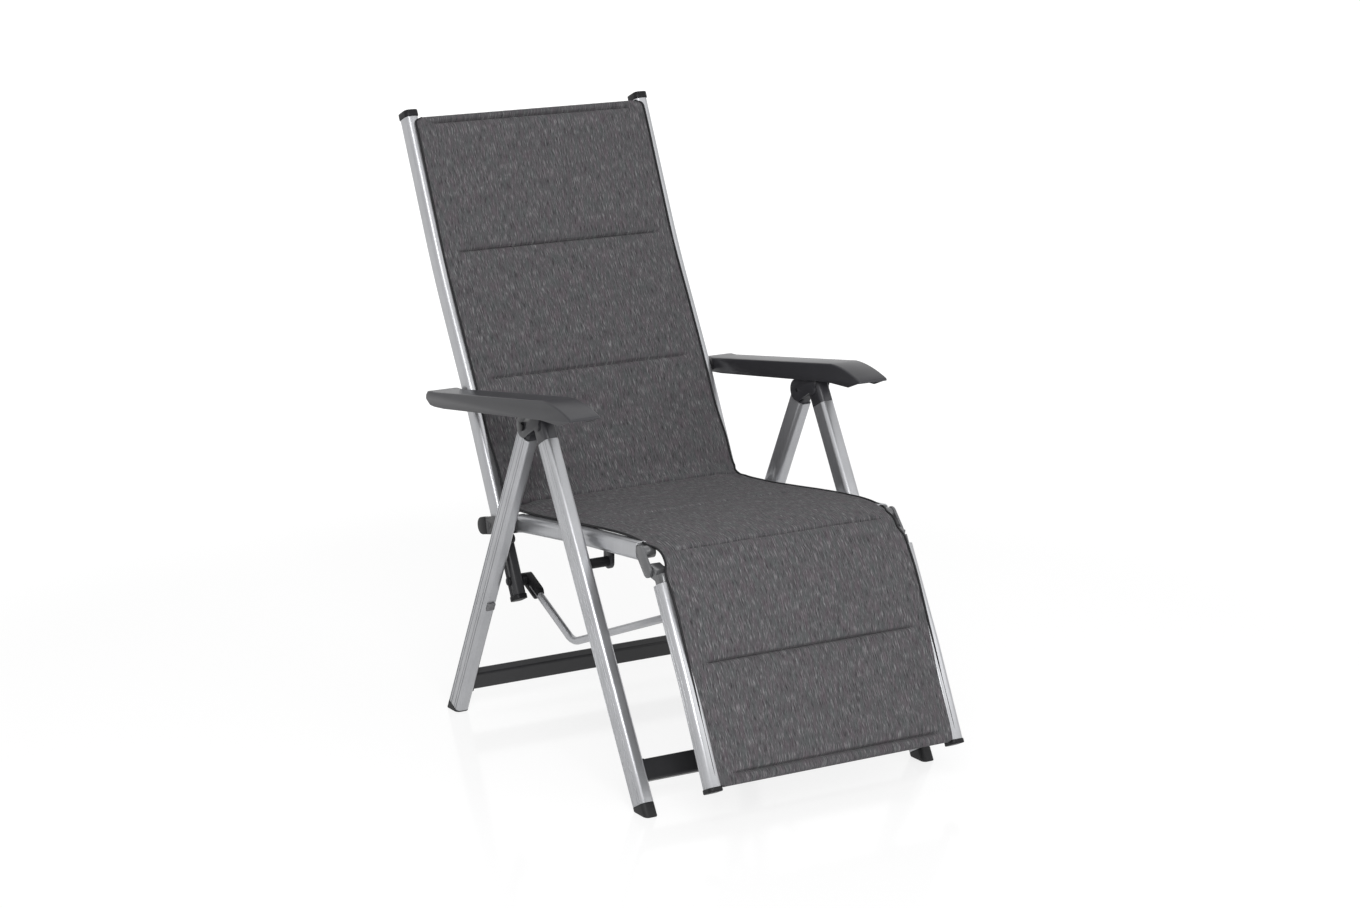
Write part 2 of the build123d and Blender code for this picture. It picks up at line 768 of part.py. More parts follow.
def footrest_cap():
    """The moulding on top of a footrest tube, with the lower barrel."""
    top = step(foot_top, -foot_top_cap_length, foot_upper_angle)
    low = step(top, -hinge_plug, foot_upper_angle)
    plug = straight_tube(low, top, tube_middle, tube_core(foot_tube_depth))
    head = straight_tube(top, foot_top, tube_inner + barrel_width / 2,
                         profile(barrel_width, foot_tube_depth - tube_wall, tube_corner, 0))
    arm = strip(foot_top, link_end, barrel_round - side_gap, tube_inner, barrel_width)
    barrel = disc(link_end, barrel_round, tube_inner, barrel_width)
    clear = disc(knee, barrel_round + side_gap, tube_inner - overrun, tube_width + 2 * overrun)
    bore = disc(link_end, hinge_pin_radius + running_gap, tube_inner - overrun, tube_width + overrun)
    return cut_by(plug + head + arm + barrel, clear, bore)


def footrest_tube():
    """A side tube of the footrest, bored for the rod's stud."""
    start = step(foot_top, -foot_top_cap_length - fit_gap, foot_upper_angle)
    section = profile(tube_width, foot_tube_depth, tube_corner, tube_wall)
    places = (-foot_groove_place, foot_groove_place)
    section = grooved(section, tube_width / 2, places, groove_depth, groove_width)
    tube = bent_tube([start, foot_one, foot_two], [foot_bend], tube_middle, section)
    return tube - disc(rod_front, stud_radius + fit_gap, tube_inner - overrun, 2 * overrun)


def footrest_end_cap():
    """The cap on the lower end of a footrest tube."""
    low = step(foot_two, -foot_cap_rise, foot_lower_angle)
    high = step(foot_two, hinge_plug / 2, foot_lower_angle)
    width = tube_width + back_cap_side
    section = profile(width, foot_tube_depth + back_cap_side, tube_corner, 0)
    outer = straight_tube(foot_two, low, tube_middle, section)
    return outer + straight_tube(foot_two, high, tube_middle, tube_core(foot_tube_depth))


def build_footrest():
    """The double hinges and the footrest with its part of the sling."""
    keep_pair("hinge_link", hinge_link())
    keep_pair("footrest_cap", footrest_cap())
    keep_pair("footrest_tube", footrest_tube())
    keep("footrest_end_caps", both(footrest_end_cap()))
    low = step(foot_two, foot_rail_run, foot_lower_angle)
    keep("footrest_rail", cross_rail(low, rail_radius, rail_wall, tube_inner - fit_gap))
    reach = tube_inner + tube_wall + overrun - stud_inner
    stud = disc(rod_front, stud_radius, stud_inner, reach)
    stud = stud + disc(rod_front, bolt_head_radius, stud_inner - bolt_head_width, bolt_head_width)
    keep("rod_studs", both(stud))
    keep("footrest_pad", footrest_pad())


# Push rods
def rod_corners():
    """The bend, and the places where the rod enters and leaves its clevis."""
    bend = (rod_bend_place, rod_bend_height)
    _, along = normal_of(rod_pivot, bend)
    inner = (rod_pivot[0] + along[0] * clevis_length / 2, rod_pivot[1] + along[1] * clevis_length / 2)
    outer = (rod_pivot[0] + along[0] * clevis_length, rod_pivot[1] + along[1] * clevis_length)
    return bend, along, inner, outer


def push_rod():
    """A bent rod from the lever to the footrest, with a flat eye at its front."""
    bend, along, rear, _ = rod_corners()
    _, front_along = normal_of(bend, rod_front)
    reach = rod_eye_round * rod_neck_share
    front = (rod_front[0] - front_along[0] * reach, rod_front[1] - front_along[1] * reach)
    path = FilletPolyline(space(rear, rod_inset), space(bend, rod_inset), space(front, rod_inset),
                          radius=[rod_bend_radius])
    rod = sweep(section_plane(rear, rod_inset, along) * Circle(rod_radius), path=path)
    eye = disc(rod_front, rod_eye_round, rod_inset - rod_eye_width / 2, rod_eye_width)
    neck = strip(front, rod_front, rod_radius, rod_inset - rod_eye_width / 2, rod_eye_width)
    bore = disc(rod_front, stud_radius + rod_eye_play, rod_inset - rod_eye_width, 2 * rod_eye_width)
    return rod + eye + neck - bore


def clevis():
    """The block that turns on the lever's bolt and holds the rod."""
    _, along, rear, end = rod_corners()
    block = rounded_link(rod_pivot, end, clevis_round, clevis_inner + fit_gap, clevis_width - fit_gap)
    boss_start = clevis_inner + clevis_width
    boss_end = tube_inner + tube_wall - side_gap
    block = block + disc(rod_pivot, clevis_round, boss_start, boss_end - boss_start)
    far = (end[0] + along[0] * clevis_length, end[1] + along[1] * clevis_length)
    hole = straight_tube(rear, far, rod_inset, Circle(rod_radius + fit_gap))
    bore_width = boss_end - clevis_inner + 2 * overrun
    return block - hole - disc(rod_pivot, pivot_bolt_radius + running_gap, clevis_inner - overrun, bore_width)


def build_rods():
    """The two push rods and their clevises."""
    keep_pair("push_rod", push_rod())
    keep_pair("rod_clevis", clevis())


# Padded sling
def pad_section(point, along, base, thick, crown):
    """One section of a pad across the chair: thin borders and a crowned middle."""
    plane = Plane(origin=space(point, 0), x_dir=(-1, 0, 0), z_dir=(0, along[0], along[1]))
    left = -pad_half
    low = Polyline((pad_seam_half, base + thick), (pad_half, base + thick * pad_edge / pad_border),
                   (pad_half, base), (left, base), (left, base + thick * pad_edge / pad_border),
                   (-pad_seam_half, base + thick))
    arc = ThreePointArc((-pad_seam_half, base + thick), (0, base + crown), (pad_seam_half, base + thick))
    return plane * make_face([low, arc])


def route_point(points, travel):
    """The point that lies a distance along a route of straight runs."""
    for start, end in zip(points, points[1:]):
        length = math.hypot(end[0] - start[0], end[1] - start[1])
        if travel <= length or end == points[-1]:
            share = travel / length
            return (start[0] + (end[0] - start[0]) * share, start[1] + (end[1] - start[1]) * share)
        travel = travel - length
    return points[-1]


def route_direction(points, travel):
    """The direction of a route near a place, smoothed over its bends."""
    _, along = normal_of(route_point(points, travel - pad_smooth), route_point(points, travel + pad_smooth))
    return along


def pad_along(points, runs, base):
    """A pad along a route, thin at the places in runs and full between them."""
    places = [runs[-1]]
    for start, end in zip(runs, runs[1:]):
        places += [start + (end - start) * share for share in pad_station_shares]
    corner = 0
    for start, end in zip(points, points[1:]):
        corner = corner + math.hypot(end[0] - start[0], end[1] - start[1])
        if runs[0] < corner < runs[-1]:
            places.append(corner)
    sections = []
    for travel in sorted(places):
        low, high = [(a, b) for a, b in zip(runs, runs[1:]) if a <= travel <= b][0]
        swell = abs(math.sin(math.pi * (travel - low) / (high - low)))
        thick = pad_seam + (pad_border - pad_seam) * swell
        crown = pad_border + (pad_crown - pad_border) * math.sqrt(swell) + pad_rise
        point = route_point(points, travel)
        sections.append(pad_section(point, route_direction(points, travel), base, thick, crown))
    return loft(sections, ruled=True)


def back_pad():
    """The padded back with its two seams."""
    points = [recline_pivot, back_one, back_two, back_three]
    total = back_lower_run + back_middle_run + back_upper_run
    low_seam = back_lower_run + back_low_seam_past
    high_seam = total - back_upper_run + back_high_seam_past
    runs = [back_pad_start, low_seam, high_seam, total - back_pad_short]
    return pad_along(points, runs, back_tube_depth / 2 + back_pad_lift)


def seat_pad():
    """The padded seat with its seam."""
    points = [knee, seat_one, seat_two, seat_three]
    runs = [seat_pad_front, seat_seam_run, seat_pad_back]
    return pad_along(points, runs, seat_tube_depth / 2 + pad_lift)


def footrest_pad():
    """The padded footrest with its seam."""
    points = [foot_two, foot_one, foot_top]
    total = foot_upper_run + foot_lower_run
    runs = [foot_pad_hem, total - foot_seam_run, total - foot_pad_top]
    return pad_along(points, runs, foot_tube_depth / 2 + pad_lift)


os.makedirs("parts", exist_ok=True)
build_front_legs()
build_rear_legs()
build_seat()
build_backrest()
build_armrests()
build_footrest()
build_rods()
write_all()
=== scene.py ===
"""Looks of a reclining garden armchair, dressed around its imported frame. Metres and degrees, +Z up."""

import json
import logging
import math
from dataclasses import dataclass, field
from enum import Enum

import bpy
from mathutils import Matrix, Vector, noise

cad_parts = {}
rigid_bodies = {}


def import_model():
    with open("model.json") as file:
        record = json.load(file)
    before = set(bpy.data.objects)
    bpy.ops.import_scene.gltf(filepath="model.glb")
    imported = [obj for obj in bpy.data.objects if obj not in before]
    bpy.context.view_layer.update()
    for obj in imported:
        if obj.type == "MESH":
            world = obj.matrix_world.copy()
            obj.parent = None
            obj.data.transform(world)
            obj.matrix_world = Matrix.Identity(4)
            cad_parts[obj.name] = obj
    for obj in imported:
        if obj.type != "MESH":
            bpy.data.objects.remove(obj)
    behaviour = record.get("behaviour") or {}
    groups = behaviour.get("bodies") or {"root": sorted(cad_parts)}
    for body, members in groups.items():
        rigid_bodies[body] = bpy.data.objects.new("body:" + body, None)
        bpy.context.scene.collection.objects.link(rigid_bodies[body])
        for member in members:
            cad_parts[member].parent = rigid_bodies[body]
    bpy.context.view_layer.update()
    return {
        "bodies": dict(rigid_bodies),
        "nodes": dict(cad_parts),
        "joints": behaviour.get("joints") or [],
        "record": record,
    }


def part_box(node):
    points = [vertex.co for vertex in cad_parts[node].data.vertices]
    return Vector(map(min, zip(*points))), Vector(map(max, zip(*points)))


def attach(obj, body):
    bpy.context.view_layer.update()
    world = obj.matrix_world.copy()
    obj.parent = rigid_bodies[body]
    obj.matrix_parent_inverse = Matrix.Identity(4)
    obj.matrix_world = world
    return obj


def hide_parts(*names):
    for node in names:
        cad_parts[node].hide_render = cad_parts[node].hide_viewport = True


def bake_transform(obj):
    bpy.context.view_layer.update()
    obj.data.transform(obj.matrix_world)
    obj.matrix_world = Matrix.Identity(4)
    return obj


Point = tuple[float, float]
Place = tuple[float, float, float]
Span = tuple[float, float]
Colour = tuple[float, float, float]
LOG = logging.getLogger("armchair")
WHITE: Colour = (1.0, 1.0, 1.0)
BLACK: Colour = (0.0, 0.0, 0.0)
# Points nearer than this are merged: in new pieces, and in the copies of the frame's nodes
WELD = 0.00001
COPY_WELD = 0.00002
# Angles between faces: flat enough to merge, sharp enough to round, sharp enough to stay an edge
FLAT_ANGLE = 1.0
ROUND_ANGLE = 32.0
EDGE_ANGLE = 38.0
# Facets of a fine rounding
SOFT_FACETS = 2
# A Mix node's sockets for two colours and for their mixture
MIX_FIRST = 6
MIX_SECOND = 7
MIX_RESULT = 2


class Ray(Enum):
    """Rays that see the plain white surroundings."""

    CAMERA = "Is Camera Ray"
    GLOSSY = "Is Glossy Ray"
    TRANSMISSION = "Is Transmission Ray"


class Pick(Enum):
    """What is selected in edit mode."""

    POINTS = "VERT"
    EDGES = "EDGE"
    FACES = "FACE"


class Side(Enum):
    """The chair's two sides: the left one lies at -X."""

    LEFT = -1
    RIGHT = 1

    @property
    def word(self) -> str:
        """The side's name as node names spell it."""
        return self.name.lower()


def ease(share: float) -> float:
    """A smooth step from 0 to 1, level beyond both."""
    share = min(max(share, 0.0), 1.0)
    return share * share * (3.0 - 2.0 * share)


def round_off(share: float) -> float:
    """A quarter circle that rises from 0 to 1, level beyond 1."""
    rest = 1.0 - min(max(share, 0.0), 1.0)
    return math.sqrt(1.0 - rest * rest)


def shade(colour: Colour, factor: float, lift: float = 0.0) -> Colour:
    """A colour made paler or darker.

    Args:
        colour: The colour.
        factor: What its parts are multiplied by.
        lift: What is then added to them.

    Returns:
        The new colour, with no part over 1.
    """
    return tuple(min(part * factor + lift, 1.0) for part in colour)


class Value:
    """One socket of a shader graph, with arithmetic that adds the Math nodes."""

    def __init__(self, graph: "Graph", socket: bpy.types.NodeSocket) -> None:
        """Wrap a socket.

        Args:
            graph: The graph that the socket belongs to.
            socket: The output socket.
        """
        self.graph = graph
        self.socket = socket

    def _math(self, operation: str, first: object, second: object) -> "Value":
        """A Math node on two values."""
        return self.graph.node("ShaderNodeMath", {"operation": operation}, {0: first, 1: second})

    def __add__(self, other: object) -> "Value":
        """The sum."""
        return self._math("ADD", self, other)

    __radd__ = __add__

    def __mul__(self, other: object) -> "Value":
        """The product."""
        return self._math("MULTIPLY", self, other)

    __rmul__ = __mul__

    def wave(self) -> "Value":
        """The sine of this value."""
        return self._math("SINE", self, 0.0)


class Graph:
    """The node tree of one material."""

    def __init__(self, name: str) -> None:
        """Start an empty material.

        Args:
            name: The material's name.
        """
        self.material = bpy.data.materials.new(name)
        self.material.use_nodes = True
        self.tree = self.material.node_tree
        self.tree.nodes.clear()

    def node(self, kind: str, settings: dict, inputs: dict, output: int | str = 0) -> Value:
        """Add a node, set it up and link it.

        Args:
            kind: The node's type.
            settings: Its settings; "stops" are a ramp's (place, colour) pairs.
            inputs: A value, or a Value to link, for each named or numbered socket.
            output: The output that is wanted.

        Returns:
            The chosen output.
        """
        made = self.tree.nodes.new(kind)
        for key, setting in settings.items():
            if key == "stops":
                self._stops(made.color_ramp, setting)
            else:
                setattr(made, key, setting)
        for key, given in inputs.items():
            if isinstance(given, Value):
                self.tree.links.new(given.socket, made.inputs[key])
            else:
                made.inputs[key].default_value = given
        return Value(self, made.outputs[output])

    @staticmethod
    def _stops(ramp: bpy.types.ColorRamp, stops: list[tuple[float, Colour]]) -> None:
        """Give a ramp its stops.

        Args:
            ramp: The ramp.
            stops: Its (place, colour) pairs, in order.
        """
        while len(ramp.elements) < len(stops):
            ramp.elements.new(1.0)
        for element, (place, colour) in zip(ramp.elements, stops):
            element.position = place
            element.color = (*colour, 1.0)

    def split(self, vector: Value) -> tuple[Value, Value, Value]:
        """The three parts of a vector.

        Args:
            vector: The vector.

        Returns:
            Its parts in order.
        """
        parts = self.node("ShaderNodeSeparateXYZ", {}, {0: vector})
        sockets = parts.socket.node.outputs
        return parts, Value(self, sockets[1]), Value(self, sockets[2])

    def join(self, x: object, y: object, z: object = 0.0) -> Value:
        """A vector from three parts."""
        return self.node("ShaderNodeCombineXYZ", {}, {0: x, 1: y, 2: z})

    def noise(self, vector: Value, scale: float, detail: float) -> Value:
        """Noise from 0 to 1 on a vector."""
        return self.node("ShaderNodeTexNoise", {}, {"Vector": vector, "Scale": scale, "Detail": detail})

    def ramp(self, factor: Value, stops: list[tuple[float, Colour]]) -> Value:
        """Colours along a factor."""
        return self.node("ShaderNodeValToRGB", {"stops": stops}, {0: factor})

    def mask(self, factor: Value, ends: Span, falls: bool = False) -> Value:
        """A mask that goes from 0 to 1 between two values.

        Args:
            factor: What the mask follows.
            ends: The two values.
            falls: Whether it goes from 1 to 0 instead.

        Returns:
            The mask.
        """
        first, last = (WHITE, BLACK) if falls else (BLACK, WHITE)
        return self.split(self.ramp(factor, [(ends[0], first), (ends[1], last)]))[0]

    def mix(self, factor: Value, first: object, second: object) -> Value:
        """Two colours mixed by a factor."""
        inputs = {0: factor, MIX_FIRST: _rgba(first), MIX_SECOND: _rgba(second)}
        return self.node("ShaderNodeMix", {"data_type": "RGBA"}, inputs, MIX_RESULT)

    def span(self, factor: Value, ends: Span) -> Value:
        """A factor from 0 to 1 spread between two values."""
        return factor * (ends[1] - ends[0]) + ends[0]

    def bump(self, height: Value, strength: float, distance: float) -> Value:
        """A normal from a height."""
        inputs = {"Height": height, "Strength": strength, "Distance": distance}
        return self.node("ShaderNodeBump", {}, inputs)

    def pointiness(self) -> Value:
        """How hollow or how raised the surface is, 0.5 where it is flat."""
        return self.node("ShaderNodeNewGeometry", {}, {}, "Pointiness")

    def place(self, kind: str = "Object") -> Value:
        """The surface's own coordinates."""
        return self.node("ShaderNodeTexCoord", {}, {}, kind)

    def surface(self, inputs: dict) -> bpy.types.Material:
        """Finish the material with one principled surface."""
        return self.finish(self.node("ShaderNodeBsdfPrincipled", {}, inputs))

    def finish(self, surface: Value) -> bpy.types.Material:
        """Link a surface to the material's output.

        Args:
            surface: The surface.

        Returns:
            The material.
        """
        out = self.tree.nodes.new("ShaderNodeOutputMaterial")
        self.tree.links.new(surface.socket, out.inputs["Surface"])
        return self.material


def _rgba(colour: object) -> object:
    """A colour with its alpha, or the value as it is."""
    return (*colour, 1.0) if isinstance(colour, tuple) else colour


@dataclass(frozen=True)
class Metal:
    """Satin tube metal with fine upright brush lines, and painted shade in its grooves and other hollows."""

    name: str
    colour: Colour = (0.43, 0.435, 0.45)
    metallic: float = 0.70
    roughness: Span = (0.28, 0.38)
    specular: float = 0.3
    brush_scale: float = 900.0
    brush_detail: float = 3.0
    stretch: float = 0.012
    cloud_scale: float = 14.0
    cloud_detail: float = 3.0
    variation: float = 0.09
    tones: Span = (0.35, 0.65)
    # painted shade in the hollows: its near-black colour, the pointiness span where it falls, and its
    # strength
    hollow_shade: Colour = (0.10, 0.10, 0.105)
    hollow_shade_ends: Span = (0.43, 0.485)
    hollow_shade_share: float = 0.85
    bump_strength: float = 0.04
    bump_depth: float = 0.0003

    def build(self) -> bpy.types.Material:
        """Make the material, on Object coordinates.

        Returns:
            The material.
        """
        graph = Graph(self.name)
        place = graph.place()
        x, y, z = graph.split(place)
        lines = graph.noise(graph.join(x, y, z * self.stretch), self.brush_scale, self.brush_detail)
        cloud = graph.noise(place, self.cloud_scale, self.cloud_detail)
        both = cloud * 0.5 + lines * 0.5
        tone = graph.ramp(both, [(self.tones[0], shade(self.colour, 1.0 - self.variation)),
                                 (self.tones[1], shade(self.colour, 1.0 + self.variation))])
        # painted shade: hollows found by pointiness are darkened towards a near-black colour, so the grooves
        # show as dark lines
        deep = graph.mask(graph.pointiness(), self.hollow_shade_ends, falls=True)
        return graph.surface({
            "Base Color": graph.mix(deep * self.hollow_shade_share, tone, self.hollow_shade),
            "Metallic": self.metallic,
            "Roughness": graph.span(both, self.roughness),
            "Normal": graph.bump(lines, self.bump_strength, self.bump_depth),
            "Specular IOR Level": self.specular})


@dataclass(frozen=True)
class Moulding:
    """Moulded plastic, rubber, thread or coated metal: a fine grain, slight clouding, and a painted
    highlight on raised edges.
    """

    name: str
    colour: Colour
    roughness: Span = (0.38, 0.52)
    grain_scale: float = 1400.0
    grain_depth: float = 0.12
    metallic: float = 0.0
    lighter: float = 1.25
    gloss: float = 0.28
    grain_detail: float = 2.0
    grain_share: float = 0.4
    cloud_scale: float = 22.0
    cloud_detail: float = 4.0
    tones: Span = (0.25, 0.75)
    # painted highlight on raised edges: the pointiness span where it falls, its strength, and how much
    # lighter the edge colour is
    edge_highlight_ends: Span = (0.5, 0.56)
    edge_highlight_share: float = 0.6
    edge_highlight_factor: float = 1.7
    edge_highlight_lift: float = 0.01
    bump_depth: float = 0.0003

    def build(self) -> bpy.types.Material:
        """Make the material, on Object coordinates.

        Returns:
            The material.
        """
        graph = Graph(self.name)
        place = graph.place()
        grain = graph.noise(place, self.grain_scale, self.grain_detail)
        cloud = graph.noise(place, self.cloud_scale, self.cloud_detail)
        tone = graph.ramp(cloud, [(self.tones[0], self.colour),
                                  (self.tones[1], shade(self.colour, self.lighter))])
        # painted highlight: raised edges found by pointiness are mixed towards a lighter colour
        edge_highlight = graph.mask(graph.pointiness(), self.edge_highlight_ends)
        highlighted_edge = shade(self.colour, self.edge_highlight_factor, self.edge_highlight_lift)
        both = grain * self.grain_share + cloud * (1.0 - self.grain_share)
        return graph.surface({
            "Base Color": graph.mix(edge_highlight * self.edge_highlight_share, tone, highlighted_edge),
            "Roughness": graph.span(both, self.roughness),
            "Metallic": self.metallic,
            "Normal": graph.bump(grain, self.grain_depth, self.bump_depth),
            "Specular IOR Level": self.gloss})


@dataclass(frozen=True)
class Melange:
    """Outdoor cloth of grey yarns with pale and dark streaks and faint mauve and green tints."""

    name: str
    dark: Colour = (0.030, 0.030, 0.032)
    middle: Colour = (0.114, 0.111, 0.117)
    pale: Colour = (0.345, 0.340, 0.350)
    mauve: Colour = (0.150, 0.108, 0.132)
    green: Colour = (0.102, 0.126, 0.122)
    roughness: Span = (0.80, 0.95)
    specular: float = 0.12
    sheen: float = 0.08
    sheen_roughness: float = 0.5
    yarn: float = 0.0012
    wander: float = 0.004
    wander_scale: float = 70.0
    wander_detail: float = 3.0
    streak_width: float = 0.0020
    streak_length: float = 0.019
    streak_detail: float = 5.0
    fleck_across: float = 1.4
    fleck_along: float = 2.2
    fleck_layer: float = 7.0
    fleck_detail: float = 2.0
    blotch_scale: float = 38.0
    blotch_along: float = 0.6
    blotch_layer: float = 5.0
    blotch_detail: float = 3.0
    streak_share: float = 0.6
    fleck_share: float = 0.3
    blotch_share: float = 0.1
    dark_end: float = 0.34
    middle_ends: Span = (0.48, 0.53)
    pale_start: float = 0.68
    tint_scale: float = 42.0
    tint_across: float = 2.4
    tint_along: float = 0.7
    tint_layer: float = 3.0
    tint_detail: float = 5.0
    tint_share: float = 0.30
    mauve_ends: Span = (0.50, 0.66)
    green_ends: Span = (0.34, 0.48)
    weave_relief: float = 0.5
    streak_relief: float = 1.5
    bump_strength: float = 0.6
    bump_depth: float = 0.0007

    def build(self) -> bpy.types.Material:
        """Make the material, on the cloth's own UV map in metres.

        Returns:
            The material.
        """
        graph = Graph(self.name)
        across, along, _ = graph.split(graph.place("UV"))
        wander = graph.noise(graph.join(across, along), self.wander_scale, self.wander_detail) * self.wander
        side = (across + wander) * (1.0 / self.streak_width)
        streaks = graph.noise(graph.join(side, along * (1.0 / self.streak_length)), 1.0, self.streak_detail)
        short = along * (self.fleck_along / self.streak_length)
        spread = graph.join(side * self.fleck_across, short, self.fleck_layer)
        flecks = graph.noise(spread, 1.0, self.fleck_detail)
        cloud = graph.join(across, along * self.blotch_along, self.blotch_layer)
        blotches = graph.noise(cloud, self.blotch_scale, self.blotch_detail)
        mixed = streaks * self.streak_share + flecks * self.fleck_share + blotches * self.blotch_share
        tone = graph.ramp(mixed, [(self.dark_end, self.dark), (self.middle_ends[0], self.middle),
                                  (self.middle_ends[1], self.middle), (self.pale_start, self.pale)])
        dye = graph.join(across * self.tint_across, along * self.tint_along, self.tint_layer)
        tint = graph.noise(dye, self.tint_scale, self.tint_detail)
        tone = graph.mix(graph.mask(tint, self.mauve_ends) * self.tint_share, tone, self.mauve)
        tone = graph.mix(graph.mask(tint, self.green_ends, falls=True) * self.tint_share, tone, self.green)
        turn = 2.0 * math.pi / self.yarn
        weave = (across * turn).wave() * (along * turn).wave()
        relief = weave * self.weave_relief + streaks * self.streak_relief + flecks
        return graph.surface({
            "Base Color": tone,
            "Roughness": graph.span(flecks, self.roughness),
            "Normal": graph.bump(relief, self.bump_strength, self.bump_depth),
            "Specular IOR Level": self.specular,
            "Sheen Weight": self.sheen,
            "Sheen Roughness": self.sheen_roughness})


@dataclass(frozen=True)
class Paper:
    """The plain white floor, which keeps a part of each shadow and a faint reflection."""

    name: str = "white_floor"
    colour: Colour = (0.93, 0.93, 0.93)
    roughness: float = 0.12
    specular: float = 0.6
    shadow_share: float = 0.30
    glow: float = 1.15
    near: float = 1.3
    far: float = 3.0

    def build(self) -> bpy.types.Material:
        """Make the material: a glow for the rays that see the surroundings, weaker near the chair.

        Returns:
            The material.
        """
        graph = Graph(self.name)
        seen = graph.node("ShaderNodeLightPath", {}, {}, Ray.CAMERA.value)
        for ray in (Ray.GLOSSY, Ray.TRANSMISSION):
            seen = seen + graph.node("ShaderNodeLightPath", {}, {}, ray.value)
        paper = graph.node("ShaderNodeBsdfPrincipled", {}, {
            "Base Color": _rgba(self.colour),
            "Roughness": self.roughness,
            "Specular IOR Level": self.specular})
        glow = graph.node("ShaderNodeEmission", {}, {"Color": _rgba(WHITE), "Strength": self.glow})
        away = graph.node("ShaderNodeVectorMath", {"operation": "LENGTH"}, {0: graph.place()}, 1)
        open_floor = graph.node("ShaderNodeMapRange", {"interpolation_type": "SMOOTHSTEP"}, {
            "Value": away, "From Min": self.near, "From Max": self.far,
            "To Min": 1.0 - self.shadow_share, "To Max": 1.0})
        return graph.finish(graph.node("ShaderNodeMixShader", {}, {0: seen * open_floor, 1: paper, 2: glow}))


